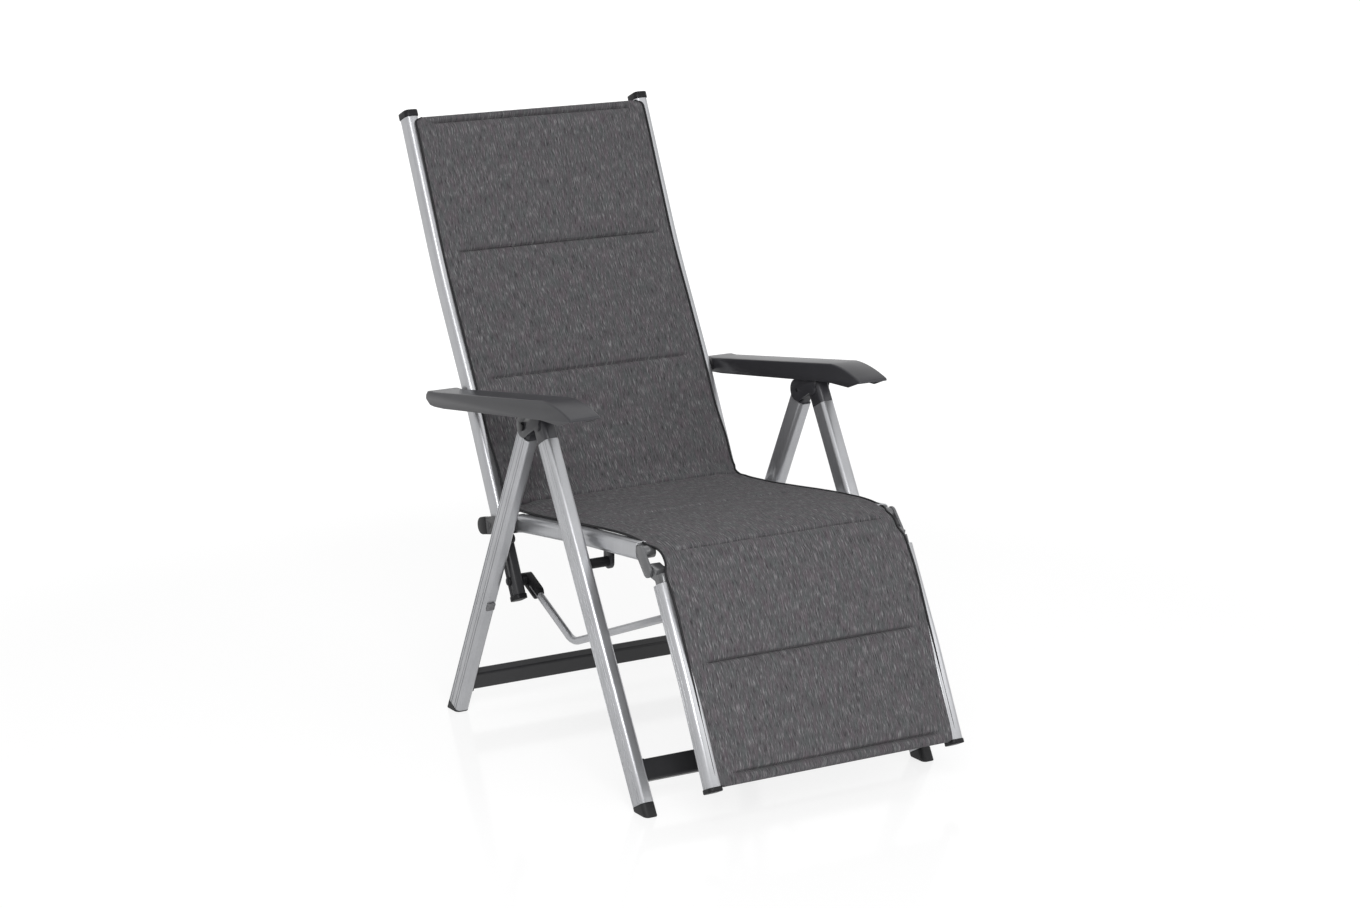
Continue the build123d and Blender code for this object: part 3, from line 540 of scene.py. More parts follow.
class Bench:
    """The maker's bench: a few steps of modelling that the pieces share."""

    @staticmethod
    def clear() -> None:
        """Deselect everything, in object mode."""
        if bpy.context.object and bpy.context.object.mode != "OBJECT":
            bpy.ops.object.mode_set(mode="OBJECT")
        bpy.ops.object.select_all(action="DESELECT")

    @staticmethod
    def take(piece: bpy.types.Object) -> None:
        """Make one piece the only selected and the active one.

        Args:
            piece: The piece.
        """
        Bench.clear()
        piece.select_set(True)
        bpy.context.view_layer.objects.active = piece

    @staticmethod
    def open_up(piece: bpy.types.Object) -> None:
        """Go into edit mode on a piece, with all of it selected.

        Args:
            piece: The piece.
        """
        Bench.take(piece)
        bpy.ops.object.mode_set(mode="EDIT")
        bpy.ops.mesh.select_all(action="SELECT")

    @staticmethod
    def settle(piece: bpy.types.Object) -> None:
        """Apply a piece's place, turn and scale to its mesh."""
        Bench.take(piece)
        bpy.ops.object.transform_apply(location=True, rotation=True, scale=True)

    @staticmethod
    def outward(piece: bpy.types.Object) -> None:
        """Merge a piece's doubles and turn all its faces outwards.

        Args:
            piece: The piece.
        """
        Bench.open_up(piece)
        bpy.ops.mesh.remove_doubles(threshold=WELD)
        bpy.ops.mesh.normals_make_consistent(inside=False)
        bpy.ops.object.mode_set(mode="OBJECT")

    @staticmethod
    def choose(piece: bpy.types.Object, kind: Pick, indices: list[int]) -> None:
        """Select some points, edges or faces of a piece and stay in edit mode.

        Args:
            piece: The piece.
            kind: What is selected.
            indices: The numbers of the selected ones.
        """
        Bench.take(piece)
        bpy.ops.object.mode_set(mode="EDIT")
        bpy.ops.mesh.select_mode(type=kind.value)
        bpy.ops.mesh.select_all(action="DESELECT")
        bpy.ops.object.mode_set(mode="OBJECT")
        mesh = piece.data
        parts = {Pick.POINTS: mesh.vertices, Pick.EDGES: mesh.edges, Pick.FACES: mesh.polygons}[kind]
        for index in indices:
            parts[index].select = True
        bpy.ops.object.mode_set(mode="EDIT")

    @staticmethod
    def slab(name: str, outline: list[Point], low: float, high: float) -> bpy.types.Object:
        """Make a slab: an edge extruded along a side outline, with both flanks filled.

        Args:
            name: The piece's name.
            outline: Side-plane points, to the rear and up.
            low: One flank's place across.
            high: The other flank's place across.

        Returns:
            The new piece.
        """
        y, z = outline[0]
        Bench.clear()
        bpy.ops.mesh.primitive_plane_add(size=high - low, location=((low + high) / 2.0, y, z))
        piece = bpy.context.object
        piece.name = name
        Bench.settle(piece)
        Bench.choose(piece, Pick.POINTS, [vertex.index for vertex in piece.data.vertices if vertex.co.y > y])
        bpy.ops.mesh.delete(type="VERT")
        bpy.ops.mesh.select_all(action="SELECT")
        bpy.ops.transform.translate(value=(0.0, (high - low) / 2.0, 0.0))
        for before, after in zip(outline, outline[1:] + outline[:1]):
            move = (0.0, after[0] - before[0], after[1] - before[1])
            bpy.ops.mesh.extrude_region_move(TRANSFORM_OT_translate={"value": move})
        bpy.ops.mesh.select_all(action="SELECT")
        bpy.ops.mesh.remove_doubles(threshold=WELD)
        for place in (low, high):
            bpy.ops.object.mode_set(mode="OBJECT")
            flank = {vertex.index for vertex in piece.data.vertices if abs(vertex.co.x - place) < WELD}
            rim = [edge.index for edge in piece.data.edges if flank.issuperset(edge.vertices)]
            Bench.choose(piece, Pick.EDGES, rim)
            bpy.ops.mesh.edge_face_add()
        bpy.ops.object.mode_set(mode="OBJECT")
        Bench.outward(piece)
        return piece

    @staticmethod
    def from_points(name: str, points: list[Place], faces: list[tuple[int, ...]], angle: float,
                    places: list[Point] | None = None) -> bpy.types.Object:
        """Make a closed piece from its points and faces.

        Args:
            name: The piece's name.
            points: Its points.
            faces: The points of each face.
            angle: The least angle between faces that stays an edge.
            places: The points' places on the cloth, for a UV map in metres.

        Returns:
            The new piece.
        """
        mesh = bpy.data.meshes.new(name)
        mesh.from_pydata(points, [], faces)
        if places:
            layer = mesh.uv_layers.new(name="cloth")
            for corner in mesh.loops:
                layer.data[corner.index].uv = places[corner.vertex_index]
        piece = bpy.data.objects.new(name, mesh)
        bpy.context.collection.objects.link(piece)
        Bench.outward(piece)
        bpy.ops.object.shade_smooth_by_angle(angle=math.radians(angle))
        return piece

    @staticmethod
    def copy(source: bpy.types.Object, name: str) -> bpy.types.Object:
        """Copy a piece.

        Args:
            source: The piece.
            name: The copy's name.

        Returns:
            The copy, with its own mesh.
        """
        piece = source.copy()
        piece.data = source.data.copy()
        piece.name = name
        bpy.context.collection.objects.link(piece)
        return piece

    @staticmethod
    def round_edges(piece: bpy.types.Object, width: float, segments: int, angle: float) -> None:
        """Round a piece's edges.

        Args:
            piece: The piece.
            width: The rounding's width.
            segments: The facets of a rounding.
            angle: The least angle between faces that is rounded.
        """
        Bench.take(piece)
        rounding = piece.modifiers.new("rounding", "BEVEL")
        rounding.width = width
        rounding.segments = segments
        rounding.limit_method = "ANGLE"
        rounding.angle_limit = math.radians(angle)
        bpy.ops.object.modifier_apply(modifier=rounding.name)

    @staticmethod
    def soften(piece: bpy.types.Object, width: float, angle: float = ROUND_ANGLE) -> None:
        """Round a piece's edges finely and shade it smooth.

        Args:
            piece: The piece.
            width: The rounding's width.
            angle: The least angle between faces that is rounded.
        """
        Bench.round_edges(piece, width, SOFT_FACETS, angle)
        bpy.ops.object.shade_smooth_by_angle(angle=math.radians(EDGE_ANGLE))

    @staticmethod
    def cast_from(node: str, width: float) -> bpy.types.Object:
        """Make a softened copy of a node of the frame.

        Args:
            node: The node's name.
            width: The rounding's width.

        Returns:
            The copy, with its triangles merged and its edges rounded.
        """
        Bench.clear()
        piece = Bench.copy(bpy.data.objects[node], "soft_" + node)
        piece.parent = None
        for key in list(piece.keys()):
            del piece[key]
        Bench.open_up(piece)
        bpy.ops.mesh.remove_doubles(threshold=COPY_WELD)
        bpy.ops.mesh.dissolve_limited(angle_limit=math.radians(FLAT_ANGLE))
        bpy.ops.object.mode_set(mode="OBJECT")
        Bench.soften(piece, width)
        return piece

    @staticmethod
    def dress(piece: bpy.types.Object, material: bpy.types.Material) -> None:
        """Give a piece one material."""
        piece.data.materials.clear()
        piece.data.materials.append(material)


@dataclass(frozen=True)
class Seam:
    """A line sewn across the sling: its place on the route, half its length and how deep it is drawn in."""

    place: str
    half: float
    depth: float = 1.0


@dataclass(frozen=True)
class Neck:
    """A narrower place of the sling: its place on the route, half its width and how far it reaches along."""

    place: str
    half: float
    reach: float


@dataclass(frozen=True)
class Stretch:
    """A stretch of the sling between two travels, from low to high.

    It stands in for one node, and threads run along its seams. It names a first body for the travel start
    and a second body for the travel end.
    """

    name: str
    low: float
    high: float
    first: str
    second: str
    start: float
    end: float
    node: str
    seams: tuple[float, ...]


@dataclass
class Sling:
    """The padded sling, one cloth from the footrest over the seat to the headrest.

    Its route runs up through named places in the side plane, and a travel is a distance along that route.
    """

    knee: Point
    hip: Point
    half: float = 0.2436
    pad_half: float = 0.213
    corner: float = 0.013
    corner_half: float = 0.2290
    neck_ease: float = 1.6
    dense: int = 40
    tangent_steps: int = 6
    step: float = 0.004
    fine_step: float = 0.001
    fine_reach: float = 0.009
    columns: int = 96
    back_columns: int = 40
    border: float = 0.003
    loft: float = 0.0075
    crown_share: float = 0.22
    rise: float = 0.022
    side_over: float = 0.012
    side_rise: float = 0.034
    under: float = 0.001
    under_half: float = 0.2235
    under_rise: float = 0.02
    crease: float = 0.0044
    crease_width: float = 0.0024
    crease_widths: float = 3.0
    seam_end: float = 0.009
    pucker: float = 0.0009
    pucker_length: float = 0.019
    pucker_swing: float = 9.0
    pucker_drift: Point = (13.0, 21.0)
    pucker_start: float = 0.003
    pucker_fade: float = 0.008
    sway: float = 0.0022
    sway_length: float = 0.085
    sway_layer: float = 1.7
    stitch: float = 0.0045
    stitch_radius: float = 0.00055
    stitch_half_share: float = 0.36
    stitch_rise_share: float = 0.3
    stitch_segments: int = 6
    stitch_rings: int = 4
    stitch_margin: float = 0.006
    stitch_off: float = 0.0012
    knee_stitch_off: float = 0.001
    # the black hem cords, which also stand in for the shade in the tubes' channels
    welt_radius: float = 0.0021
    welt_sides: int = 8
    welt_tuck_share: float = 0.4
    welt_sink_share: float = 0.3
    cloth_angle: float = 60.0
    thread_angle: float = 80.0
    fill: float = 0.6
    shin_blend: float = 0.075
    thigh_blend: float = 0.085
    waist_blend: float = 0.120
    # Side-plane places from the front hinge's upper pin
    hem_edge: Point = (-0.2245, -0.3530)
    hem_seam: Point = (-0.2170, -0.3350)
    shin: Point = (-0.1760, -0.2500)
    shin_seam: Point = (-0.1365, -0.1655)
    calf: Point = (-0.0905, -0.0712)
    knee_under: Point = (-0.0500, -0.0130)
    knee_seam: Point = (-0.0345, 0.0040)
    knee_over: Point = (-0.0100, 0.0105)
    thigh: Point = (0.0500, 0.0150)
    thigh_rear: Point = (0.1250, 0.0100)
    seat_seam: Point = (0.2050, 0.0010)
    seat_mid: Point = (0.2900, -0.0100)
    seat_rear: Point = (0.3900, -0.0215)
    junction: Point = (0.4790, -0.0240)
    # Side-plane places from the back's pivot
    waist: Point = (-0.0093, 0.0550)
    lumbar: Point = (0.0150, 0.0990)
    lumbar_top: Point = (0.0519, 0.1526)
    low_seam: Point = (0.1000, 0.2460)
    ribs: Point = (0.1500, 0.3390)
    shoulder: Point = (0.2040, 0.4360)
    high_seam: Point = (0.2170, 0.4630)
    head: Point = (0.2684, 0.5800)
    top_seam: Point = (0.3170, 0.6880)
    top_edge: Point = (0.3250, 0.6990)
    seams: tuple[Seam, ...] = (
        Seam("hem_seam", 0.2085, 1.25), Seam("shin_seam", 0.213), Seam("knee_seam", 0.214, 0.6),
        Seam("seat_seam", 0.171, 0.9), Seam("junction", 0.236, 3.0), Seam("low_seam", 0.212),
        Seam("high_seam", 0.215), Seam("top_seam", 0.2137, 1.1))
    necks: tuple[Neck, ...] = (Neck("knee_seam", 0.2360, 0.042), Neck("junction", 0.2395, 0.022))
    route: list[Vector] = field(default_factory=list)
    lengths: list[float] = field(default_factory=list)
    travels: dict[str, float] = field(default_factory=dict)

    def lay_route(self) -> None:
        """Work out the route through the named places and the travel at each of them."""
        front = ["hem_edge", "hem_seam", "shin", "shin_seam", "calf", "knee_under", "knee_seam", "knee_over",
                 "thigh", "thigh_rear", "seat_seam", "seat_mid", "seat_rear", "junction"]
        rear = ["waist", "lumbar", "lumbar_top", "low_seam", "ribs", "shoulder", "high_seam", "head",
                "top_seam", "top_edge"]
        marks = [Vector(getattr(self, name)) + Vector(self.knee) for name in front]
        marks += [Vector(getattr(self, name)) + Vector(self.hip) for name in rear]
        names = front + rear
        ends = [2 * marks[0] - marks[1]] + marks + [2 * marks[-1] - marks[-2]]
        travel = 0.0
        self.route = [marks[0]]
        self.lengths = [0.0]
        self.travels = {names[0]: 0.0}
        for index, name in enumerate(names[1:]):
            a, b, c, d = ends[index:index + 4]
            for part in range(1, self.dense + 1):
                point = self._between(a, b, c, d, part / self.dense)
                travel += (point - self.route[-1]).length
                self.route.append(point)
                self.lengths.append(travel)
            self.travels[name] = travel

    @staticmethod
    def _between(a: Vector, b: Vector, c: Vector, d: Vector, share: float) -> Vector:
        """A point of a smooth curve through four places, between the middle two.

        Args:
            a: The place before.
            b: The place where the share is 0.
            c: The place where the share is 1.
            d: The place after.
            share: How far the point lies from b to c.

        Returns:
            The point, on a centripetal curve.
        """
        t0 = 0.0
        t1 = t0 + math.sqrt((b - a).length)
        t2 = t1 + math.sqrt((c - b).length)
        t3 = t2 + math.sqrt((d - c).length)
        t = t1 + (t2 - t1) * share
        one = a * ((t1 - t) / (t1 - t0)) + b * ((t - t0) / (t1 - t0))
        two = b * ((t2 - t) / (t2 - t1)) + c * ((t - t1) / (t2 - t1))
        three = c * ((t3 - t) / (t3 - t2)) + d * ((t - t2) / (t3 - t2))
        low = one * ((t2 - t) / (t2 - t0)) + two * ((t - t0) / (t2 - t0))
        high = two * ((t3 - t) / (t3 - t1)) + three * ((t - t1) / (t3 - t1))
        return low * ((t2 - t) / (t2 - t1)) + high * ((t - t1) / (t2 - t1))

    def at(self, travel: float) -> tuple[Vector, Vector]:
        """The route's point at a travel, and the way that is square to it, out of the cloth.

        Args:
            travel: The distance along the route.

        Returns:
            The point, and the outward unit vector.
        """
        low, high = 0, len(self.lengths) - 1
        while high - low > 1:
            middle = (low + high) // 2
            if self.lengths[middle] <= travel:
                low = middle
            else:
                high = middle
        gap = self.lengths[high] - self.lengths[low]
        share = (travel - self.lengths[low]) / gap
        point = self.route[low].lerp(self.route[high], share)
        before = self.route[max(low - self.tangent_steps, 0)]
        after = self.route[min(high + self.tangent_steps, len(self.route) - 1)]
        along = (after - before).normalized()
        return point, Vector((-along.y, along.x))

    def spot(self, travel: float, across: float, lift: float) -> Place:
        """A point in space.

        Args:
            travel: The distance along the route.
            across: The distance from the middle.
            lift: The height over the route's surface.

        Returns:
            The point.
        """
        centre, out = self.at(travel)
        return (across, centre.x + out.x * lift, centre.y + out.y * lift)

    def width_at(self, travel: float) -> float:
        """Half the cloth's width: narrower where it passes the hinges, and rounded at its four corners.

        Args:
            travel: The distance along the route.

        Returns:
            Half the width.
        """
        width = self.half
        for neck in self.necks:
            away = abs(travel - self.travels[neck.place]) / neck.reach
            width -= (self.half - neck.half) * ease((1.0 - away) * self.neck_ease)
        end = min(travel, self.lengths[-1] - travel) / self.corner
        return width - (self.half - self.corner_half) * (1.0 - round_off(end))

    def height(self, travel: float, across: float) -> float:
        """How far the upper cloth stands off the route's surface.

        Args:
            travel: The distance along the route.
            across: The distance from the middle.

        Returns:
            The height over the seams' level.
        """
        pillow = round_off(min(travel, self.lengths[-1] - travel) / self.corner)
        wrinkle = 0.0
        drift = travel * self.pucker_drift[1] + across * self.pucker_drift[0]
        turn = across * 2.0 * math.pi / self.pucker_length
        wave = math.sin(turn + self.pucker_swing * math.sin(drift))
        for seam in self.seams:
            off = abs(travel - self.travels[seam.place])
            if off < self.rise:
                sewn = min(seam.depth, 1.0) * ease((seam.half - abs(across)) / self.seam_end)
                pillow = min(pillow, 1.0 - sewn * (1.0 - round_off(off / self.rise)))
                fade = math.exp(-off / self.pucker_fade) * min(off / self.pucker_start, 1.0)
                wrinkle += sewn * self.pucker * wave * fade
        side = ease((self.pad_half + self.side_over - abs(across)) / self.side_rise)
        crown = 1.0 - self.crown_share * (across / self.half) ** 2
        place = Vector((across / self.sway_length, travel / self.sway_length, self.sway_layer))
        sway = self.sway * noise.noise(place) * side * pillow
        return self.loft * pillow * side * crown + wrinkle * side + sway - self.sunk(travel, across)

    def sunk(self, travel: float, across: float) -> float:
        """How far the seams draw the cloth in, above and below alike.

        Args:
            travel: The distance along the route.
            across: The distance from the middle.

        Returns:
            The depth under the seams' level.
        """
        depth = 0.0
        for seam in self.seams:
            off = (travel - self.travels[seam.place]) / self.crease_width
            if abs(off) < self.crease_widths:
                sewn = seam.depth * ease((seam.half - abs(across)) / self.seam_end)
                depth += sewn * self.crease * math.exp(-off * off)
        return depth

    def rows(self, start: float, end: float) -> list[float]:
        """The travels of a stretch's rows, close together by the seams.

        Args:
            start: The travel at its first end.
            end: The travel at its other end.

        Returns:
            The travels in order.
        """
        places = [start]
        while places[-1] < end - self.fine_step * 0.5:
            near = min(abs(places[-1] - self.travels[seam.place]) for seam in self.seams)
            step = self.fine_step if near < self.fine_reach else self.step
            places.append(min(places[-1] + step, end))
        return places

    def panel(self, name: str, start: float, end: float) -> bpy.types.Object:
        """Make a closed stretch of the sling between two travels.

        Args:
            name: The piece's name.
            start: The travel at its first end.
            end: The travel at its other end.

        Returns:
            The piece, with its UV map in metres.
        """
        stops = self.rows(start, end)
        loop = self.columns + 1 + self.back_columns + 1
        points: list[Place] = []
        places: list[Point] = []
        for travel in stops:
            width = self.width_at(travel)
            for column in range(self.columns + 1):
                across = -width + 2.0 * width * column / self.columns
                lip = round_off((width - abs(across)) / self.border)
                lift = self.height(travel, across) - self.border * (1.0 - lip)
                points.append(self.spot(travel, across, lift))
                places.append((across, travel))
            for column in range(self.back_columns + 1):
                across = width - 2.0 * width * column / self.back_columns
                inside = ease((self.under_half - abs(across)) / self.under_rise)
                drop = self.border + self.under * inside + self.sunk(travel, across)
                points.append(self.spot(travel, across, -drop))
                places.append((across, travel))
        faces: list[tuple[int, ...]] = []
        for first in range(0, len(points) - loop, loop):
            for column in range(loop):
                after = (column + 1) % loop
                faces.append((first + column, first + loop + column, first + loop + after, first + after))
        faces.append(tuple(range(loop)))
        faces.append(tuple(range(len(points) - loop, len(points)))[::-1])
        return Bench.from_points(name, points, faces, self.cloth_angle, places)

    def stitches(self, name: str, travels: tuple[float, ...]) -> bpy.types.Object:
        """Make the sewing threads of some seams, as one piece.

        Args:
            name: The piece's name.
            travels: The travels of the seams.

        Returns:
            The piece.
        """
        Bench.clear()
        bpy.ops.mesh.primitive_uv_sphere_add(
            segments=self.stitch_segments, ring_count=self.stitch_rings, radius=1.0)
        seed = bpy.context.object
        ball = [vertex.co.copy() for vertex in seed.data.vertices]
        skin = [tuple(face.vertices) for face in seed.data.polygons]
        bpy.data.objects.remove(seed)
        reach = self.pad_half - self.stitch_margin
        points: list[Place] = []
        faces: list[tuple[int, ...]] = []
        for travel in travels:
            line = travel + self.stitch_off
            centre, out = self.at(line)
            for index in range(int(2.0 * reach / self.stitch)):
                across = -reach + self.stitch * (index + 0.5)
                lift = self.height(line, across) + self.stitch_radius * self.stitch_rise_share
                first = len(points)
                for co in ball:
                    rise = lift + co.z * self.stitch_radius
                    wide = co.y * self.stitch_radius
                    points.append((across + co.x * self.stitch * self.stitch_half_share,
                                   centre.x + out.x * rise + wide * out.y,
                                   centre.y + out.y * rise - wide * out.x))
                faces += [tuple(first + corner for corner in face) for face in skin]
        return Bench.from_points(name, points, faces, self.thread_angle)

    def shade_welts(self, name: str, start: float, end: float) -> bpy.types.Object:
        """Make the black cords in both long hems, which hold the cloth in the tubes' channels and also stand
        in for the shade in those channels as a dark line.

        Args:
            name: The piece's name.
            start: The travel at their first end.
            end: The travel at their other end.

        Returns:
            The piece.
        """
        points: list[Place] = []
        faces: list[tuple[int, ...]] = []
        stops = self.rows(start, end)
        sides = self.welt_sides
        radius = self.welt_radius
        for hand in Side:
            for row, travel in enumerate(stops):
                edge = hand.value * (self.width_at(travel) - radius * self.welt_tuck_share)
                ring = [len(points) + corner for corner in range(sides)]
                for corner in range(sides):
                    turn = 2.0 * math.pi * corner / sides
                    lift = radius * (math.sin(turn) - self.welt_sink_share)
                    points.append(self.spot(travel, edge + radius * math.cos(turn), lift))
                if row:
                    for here, after in zip(ring, ring[1:] + ring[:1]):
                        faces.append((here - sides, here, after, after - sides))
                if row in (0, len(stops) - 1):
                    faces.append(tuple(ring))
        return Bench.from_points(name, points, faces, self.cloth_angle)

    def stretches(self) -> tuple[Stretch, ...]:
        """The sling's three stretches, which meet at the knee and at the fold between seat and back.

        Returns:
            The stretches from the footrest up.
        """
        at = self.travels
        knee, hip, top = at["knee_seam"], at["junction"], self.lengths[-1]
        return (
            Stretch("foot_sling", 0.0, knee, "footrest_links", "footrest", knee, knee - self.shin_blend,
                    "footrest_pad", (at["hem_seam"], at["shin_seam"])),
            Stretch("seat_sling", knee, hip, "seat", "footrest_links", knee + self.thigh_blend, knee,
                    "seat_pad", (knee + self.knee_stitch_off, at["seat_seam"])),
            Stretch("back_sling", hip, top, "backrest", "seat", hip + self.waist_blend, hip,
                    "back_pad", (at["low_seam"], at["high_seam"], at["top_seam"])))

    def build(self, materials: dict[str, bpy.types.Material]) -> list[bpy.types.Object]:
        """Make the sling's stretches with their threads and with hem cords that also stand in for the shade
        in the tubes' channels.

        Args:
            materials: The finishes by name.

        Returns:
            The pieces.
        """
        self.lay_route()
        made = []
        for part in self.stretches():
            piece = self.panel(part.name, part.low, part.high)
            Bench.dress(piece, materials["sling_fabric"])
            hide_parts(part.node)
            threads = self.stitches(part.name + "_stitches", part.seams)
            Bench.dress(threads, materials["thread"])
            # painted shade: the black hem cords draw the dark line of shade where the cloth enters the
            # tubes' channels
            shade_cords = self.shade_welts(part.name + "_welts", part.low, part.high)
            Bench.dress(shade_cords, materials["black_plastic"])
            for each in (piece, threads, shade_cords):
                self.spot(part.start, 0.0, 0.0)
                self.spot(part.end, 0.0, 0.0)
                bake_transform(each)
                made.append(each)
        return made


@dataclass
class Armrests:
    """The two moulded armrests: shells open below, with a falling nose and a thin front lip."""

    pivot: Point
    low: float
    high: float
    skin: float = 0.003
    over: float = 0.013
    slope: float = 8.65
    reach: float = 0.405
    nose_length: float = 0.093
    nose_drop: float = 0.0145
    nose_curve: float = 1.75
    nose_hollow: float = 0.4
    nose_steps: int = 8
    deep: float = 0.036
    lip: float = 0.0055
    lip_front_share: float = 0.5
    lip_fall_share: float = 0.35
    lip_under_share: float = 1.3
    chin_shares: Point = (0.62, 0.93)
    belly_share: float = 0.3
    tail: float = 0.035
    # Shares of the tail behind the pivot, each with a level over the pivot: over the tail, then under it
    tail_top: tuple[Point, ...] = ((1.0, -0.006), (0.97, 0.003), (0.8, 0.010), (0.5, 0.0122))
    tail_under: tuple[Point, ...] = ((-1.0, -0.011), (0.0, -0.014), (0.6, -0.0135))
    rounding: float = 0.0036
    rounding_facets: int = 4
    rounding_angle: float = 60.0
    rim: float = 0.0007
    rim_angle: float = 50.0
    flank_normal: float = 0.5
    near: float = 0.0005

    def outline(self) -> tuple[list[Point], list[Point]]:
        """Work out the side outline.

        Returns:
            The top line from the tail to the lip, and the bottom line back to the tail.
        """
        y, z = self.pivot
        rise = math.tan(math.radians(self.slope))
        crest = z + self.over
        top = [(y + self.tail * share, z + level) for share, level in self.tail_top]
        top += [(y, crest), (y - self.reach * 0.5, crest + self.reach * 0.5 * rise)]
        nose = (y - self.reach, crest + self.reach * rise)
        for step in range(self.nose_steps + 1):
            share = step / self.nose_steps
            hollow = self.nose_length * share * self.nose_hollow * rise * (1.0 - share)
            fall = self.nose_drop * share ** self.nose_curve - hollow
            top.append((nose[0] - self.nose_length * share, nose[1] - fall))
        tip = top[-1]
        front = tip[0] - self.lip * self.lip_front_share
        top += [(front, tip[1] - self.lip * self.lip_fall_share), (front, tip[1] - self.lip)]
        chin_run, chin_fall = self.chin_shares
        bottom = [(tip[0] + self.lip, tip[1] - self.lip * self.lip_under_share),
                  (nose[0] - self.nose_length * chin_run, nose[1] - self.deep * chin_fall),
                  (nose[0] + self.deep * self.belly_share, nose[1] - self.deep)]
        bottom += [(y + self.tail * share, z + level) for share, level in self.tail_under]
        return top, bottom

    def build(self, material: bpy.types.Material) -> list[bpy.types.Object]:
        """Make one shell from its outline, and its mirrored copy.

        Args:
            material: The finish.

        Returns:
            The two armrests.
        """
        top, bottom = self.outline()
        shell = Bench.slab("armrest_shell_left", top + bottom, self.low, self.high)
        self._open_below(shell, [top[-1]] + bottom)
        Bench.round_edges(shell, self.rounding, self.rounding_facets, self.rounding_angle)
        twin = Bench.copy(shell, "armrest_shell_right")
        Bench.open_up(twin)
        bpy.ops.transform.resize(value=(-1.0, 1.0, 1.0), center_override=(0.0, 0.0, 0.0))
        bpy.ops.mesh.flip_normals()
        bpy.ops.object.mode_set(mode="OBJECT")
        for side, piece in ((Side.LEFT, shell), (Side.RIGHT, twin)):
            self._finish(side, piece, material)
        return [shell, twin]

    def _open_below(self, piece: bpy.types.Object, line: list[Point]) -> None:
        """Take away the faces along the bottom line.

        Args:
            piece: The solid shell.
            line: The bottom line from the lip to the tail.
        """
        middles = [((a[0] + b[0]) / 2.0, (a[1] + b[1]) / 2.0) for a, b in zip(line, line[1:])]
        open_faces = []
        for face in piece.data.polygons:
            near = min(math.hypot(face.center.y - y, face.center.z - z) for y, z in middles)
            if abs(face.normal.x) < self.flank_normal and near < self.near:
                open_faces.append(face.index)
        Bench.choose(piece, Pick.FACES, open_faces)
        bpy.ops.mesh.delete(type="FACE")
        bpy.ops.object.mode_set(mode="OBJECT")

    def _finish(self, side: Side, piece: bpy.types.Object, material: bpy.types.Material) -> None:
        """Give a shell its wall and its finish, and hang it on its body.

        Args:
            side: The armrest's side.
            piece: The open shell.
            material: The finish.
        """
        Bench.take(piece)
        wall = piece.modifiers.new("wall", "SOLIDIFY")
        wall.thickness = self.skin
        wall.offset = -1.0
        wall.use_even_offset = True
        bpy.ops.object.modifier_apply(modifier=wall.name)
        Bench.soften(piece, self.rim, self.rim_angle)
        Bench.dress(piece, material)
        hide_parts("armrest_" + side.word)
        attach(piece, "armrest_" + side.word)


@dataclass(frozen=True)
class Rounding:
    """The width of an edge's rounding, and the nodes that have it, without their side."""

    width: float
    stems: tuple[str, ...]


@dataclass
class Frame:
    """The chair's hard pieces: which finish each takes, and which are softened copies."""

    finishes: dict[str, bpy.types.Material]
    roundings: tuple[Rounding, ...] = (
        Rounding(0.0004, ("front_leg", "rear_leg", "footrest_tube", "lever", "seat_tube")),
        Rounding(0.0006, ("rest_pins", "recline_bolts", "leg_pivot_bolts", "seat_pivot_bolts", "rod_bolts",
                          "rod_studs")),
        Rounding(0.0010, ("rear_knuckle", "lever_caps", "seat_brackets", "seat_rear_bracket", "front_feet",
                          "rear_feet", "leg_bumpers")),
        Rounding(0.0012, ("seat_hinge", "rod_clevis")),
        Rounding(0.0015, ("leg_head", "hinge_link", "footrest_cap", "footrest_end_caps")),
        Rounding(0.0020, ("seat_end_caps", "back_caps")))

    def build(self, frame: dict, owners: dict[str, str], slots: dict[str, str]) -> list[bpy.types.Object]:
        """Dress each node, and put a softened copy in place of each one that is rounded.

        Args:
            frame: The loaded frame.
            owners: The body of each node.
            slots: The material slot of each node.

        Returns:
            The softened copies.
        """
        widths = {stem: rounding.width for rounding in self.roundings for stem in rounding.stems}
        made = []
        for node, source in frame["nodes"].items():
            stem = node.removesuffix("_left").removesuffix("_right")
            material = self.finishes.get(stem) or self.finishes[slots[node]]
            Bench.dress(source, material)
            if stem in widths:
                piece = Bench.cast_from(node, widths[stem])
                Bench.dress(piece, material)
                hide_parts(node)
                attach(piece, owners[node])
                made.append(piece)
        return made


@dataclass(frozen=True)
class Lamp:
    """A square soft lamp: its place, its side and its power in watts."""

    name: str
    place: Place
    size: float
    power: float

    def build(self, aim: Vector) -> None:
        """Hang the lamp and point it.

        Args:
            aim: The point that it faces.
        """
        data = bpy.data.lights.new(self.name, "AREA")
        data.size = self.size
        data.energy = self.power
        lamp = bpy.data.objects.new(self.name, data)
        bpy.context.collection.objects.link(lamp)
        lamp.location = self.place
        lamp.rotation_euler = (aim - Vector(self.place)).to_track_quat("-Z", "Y").to_euler()


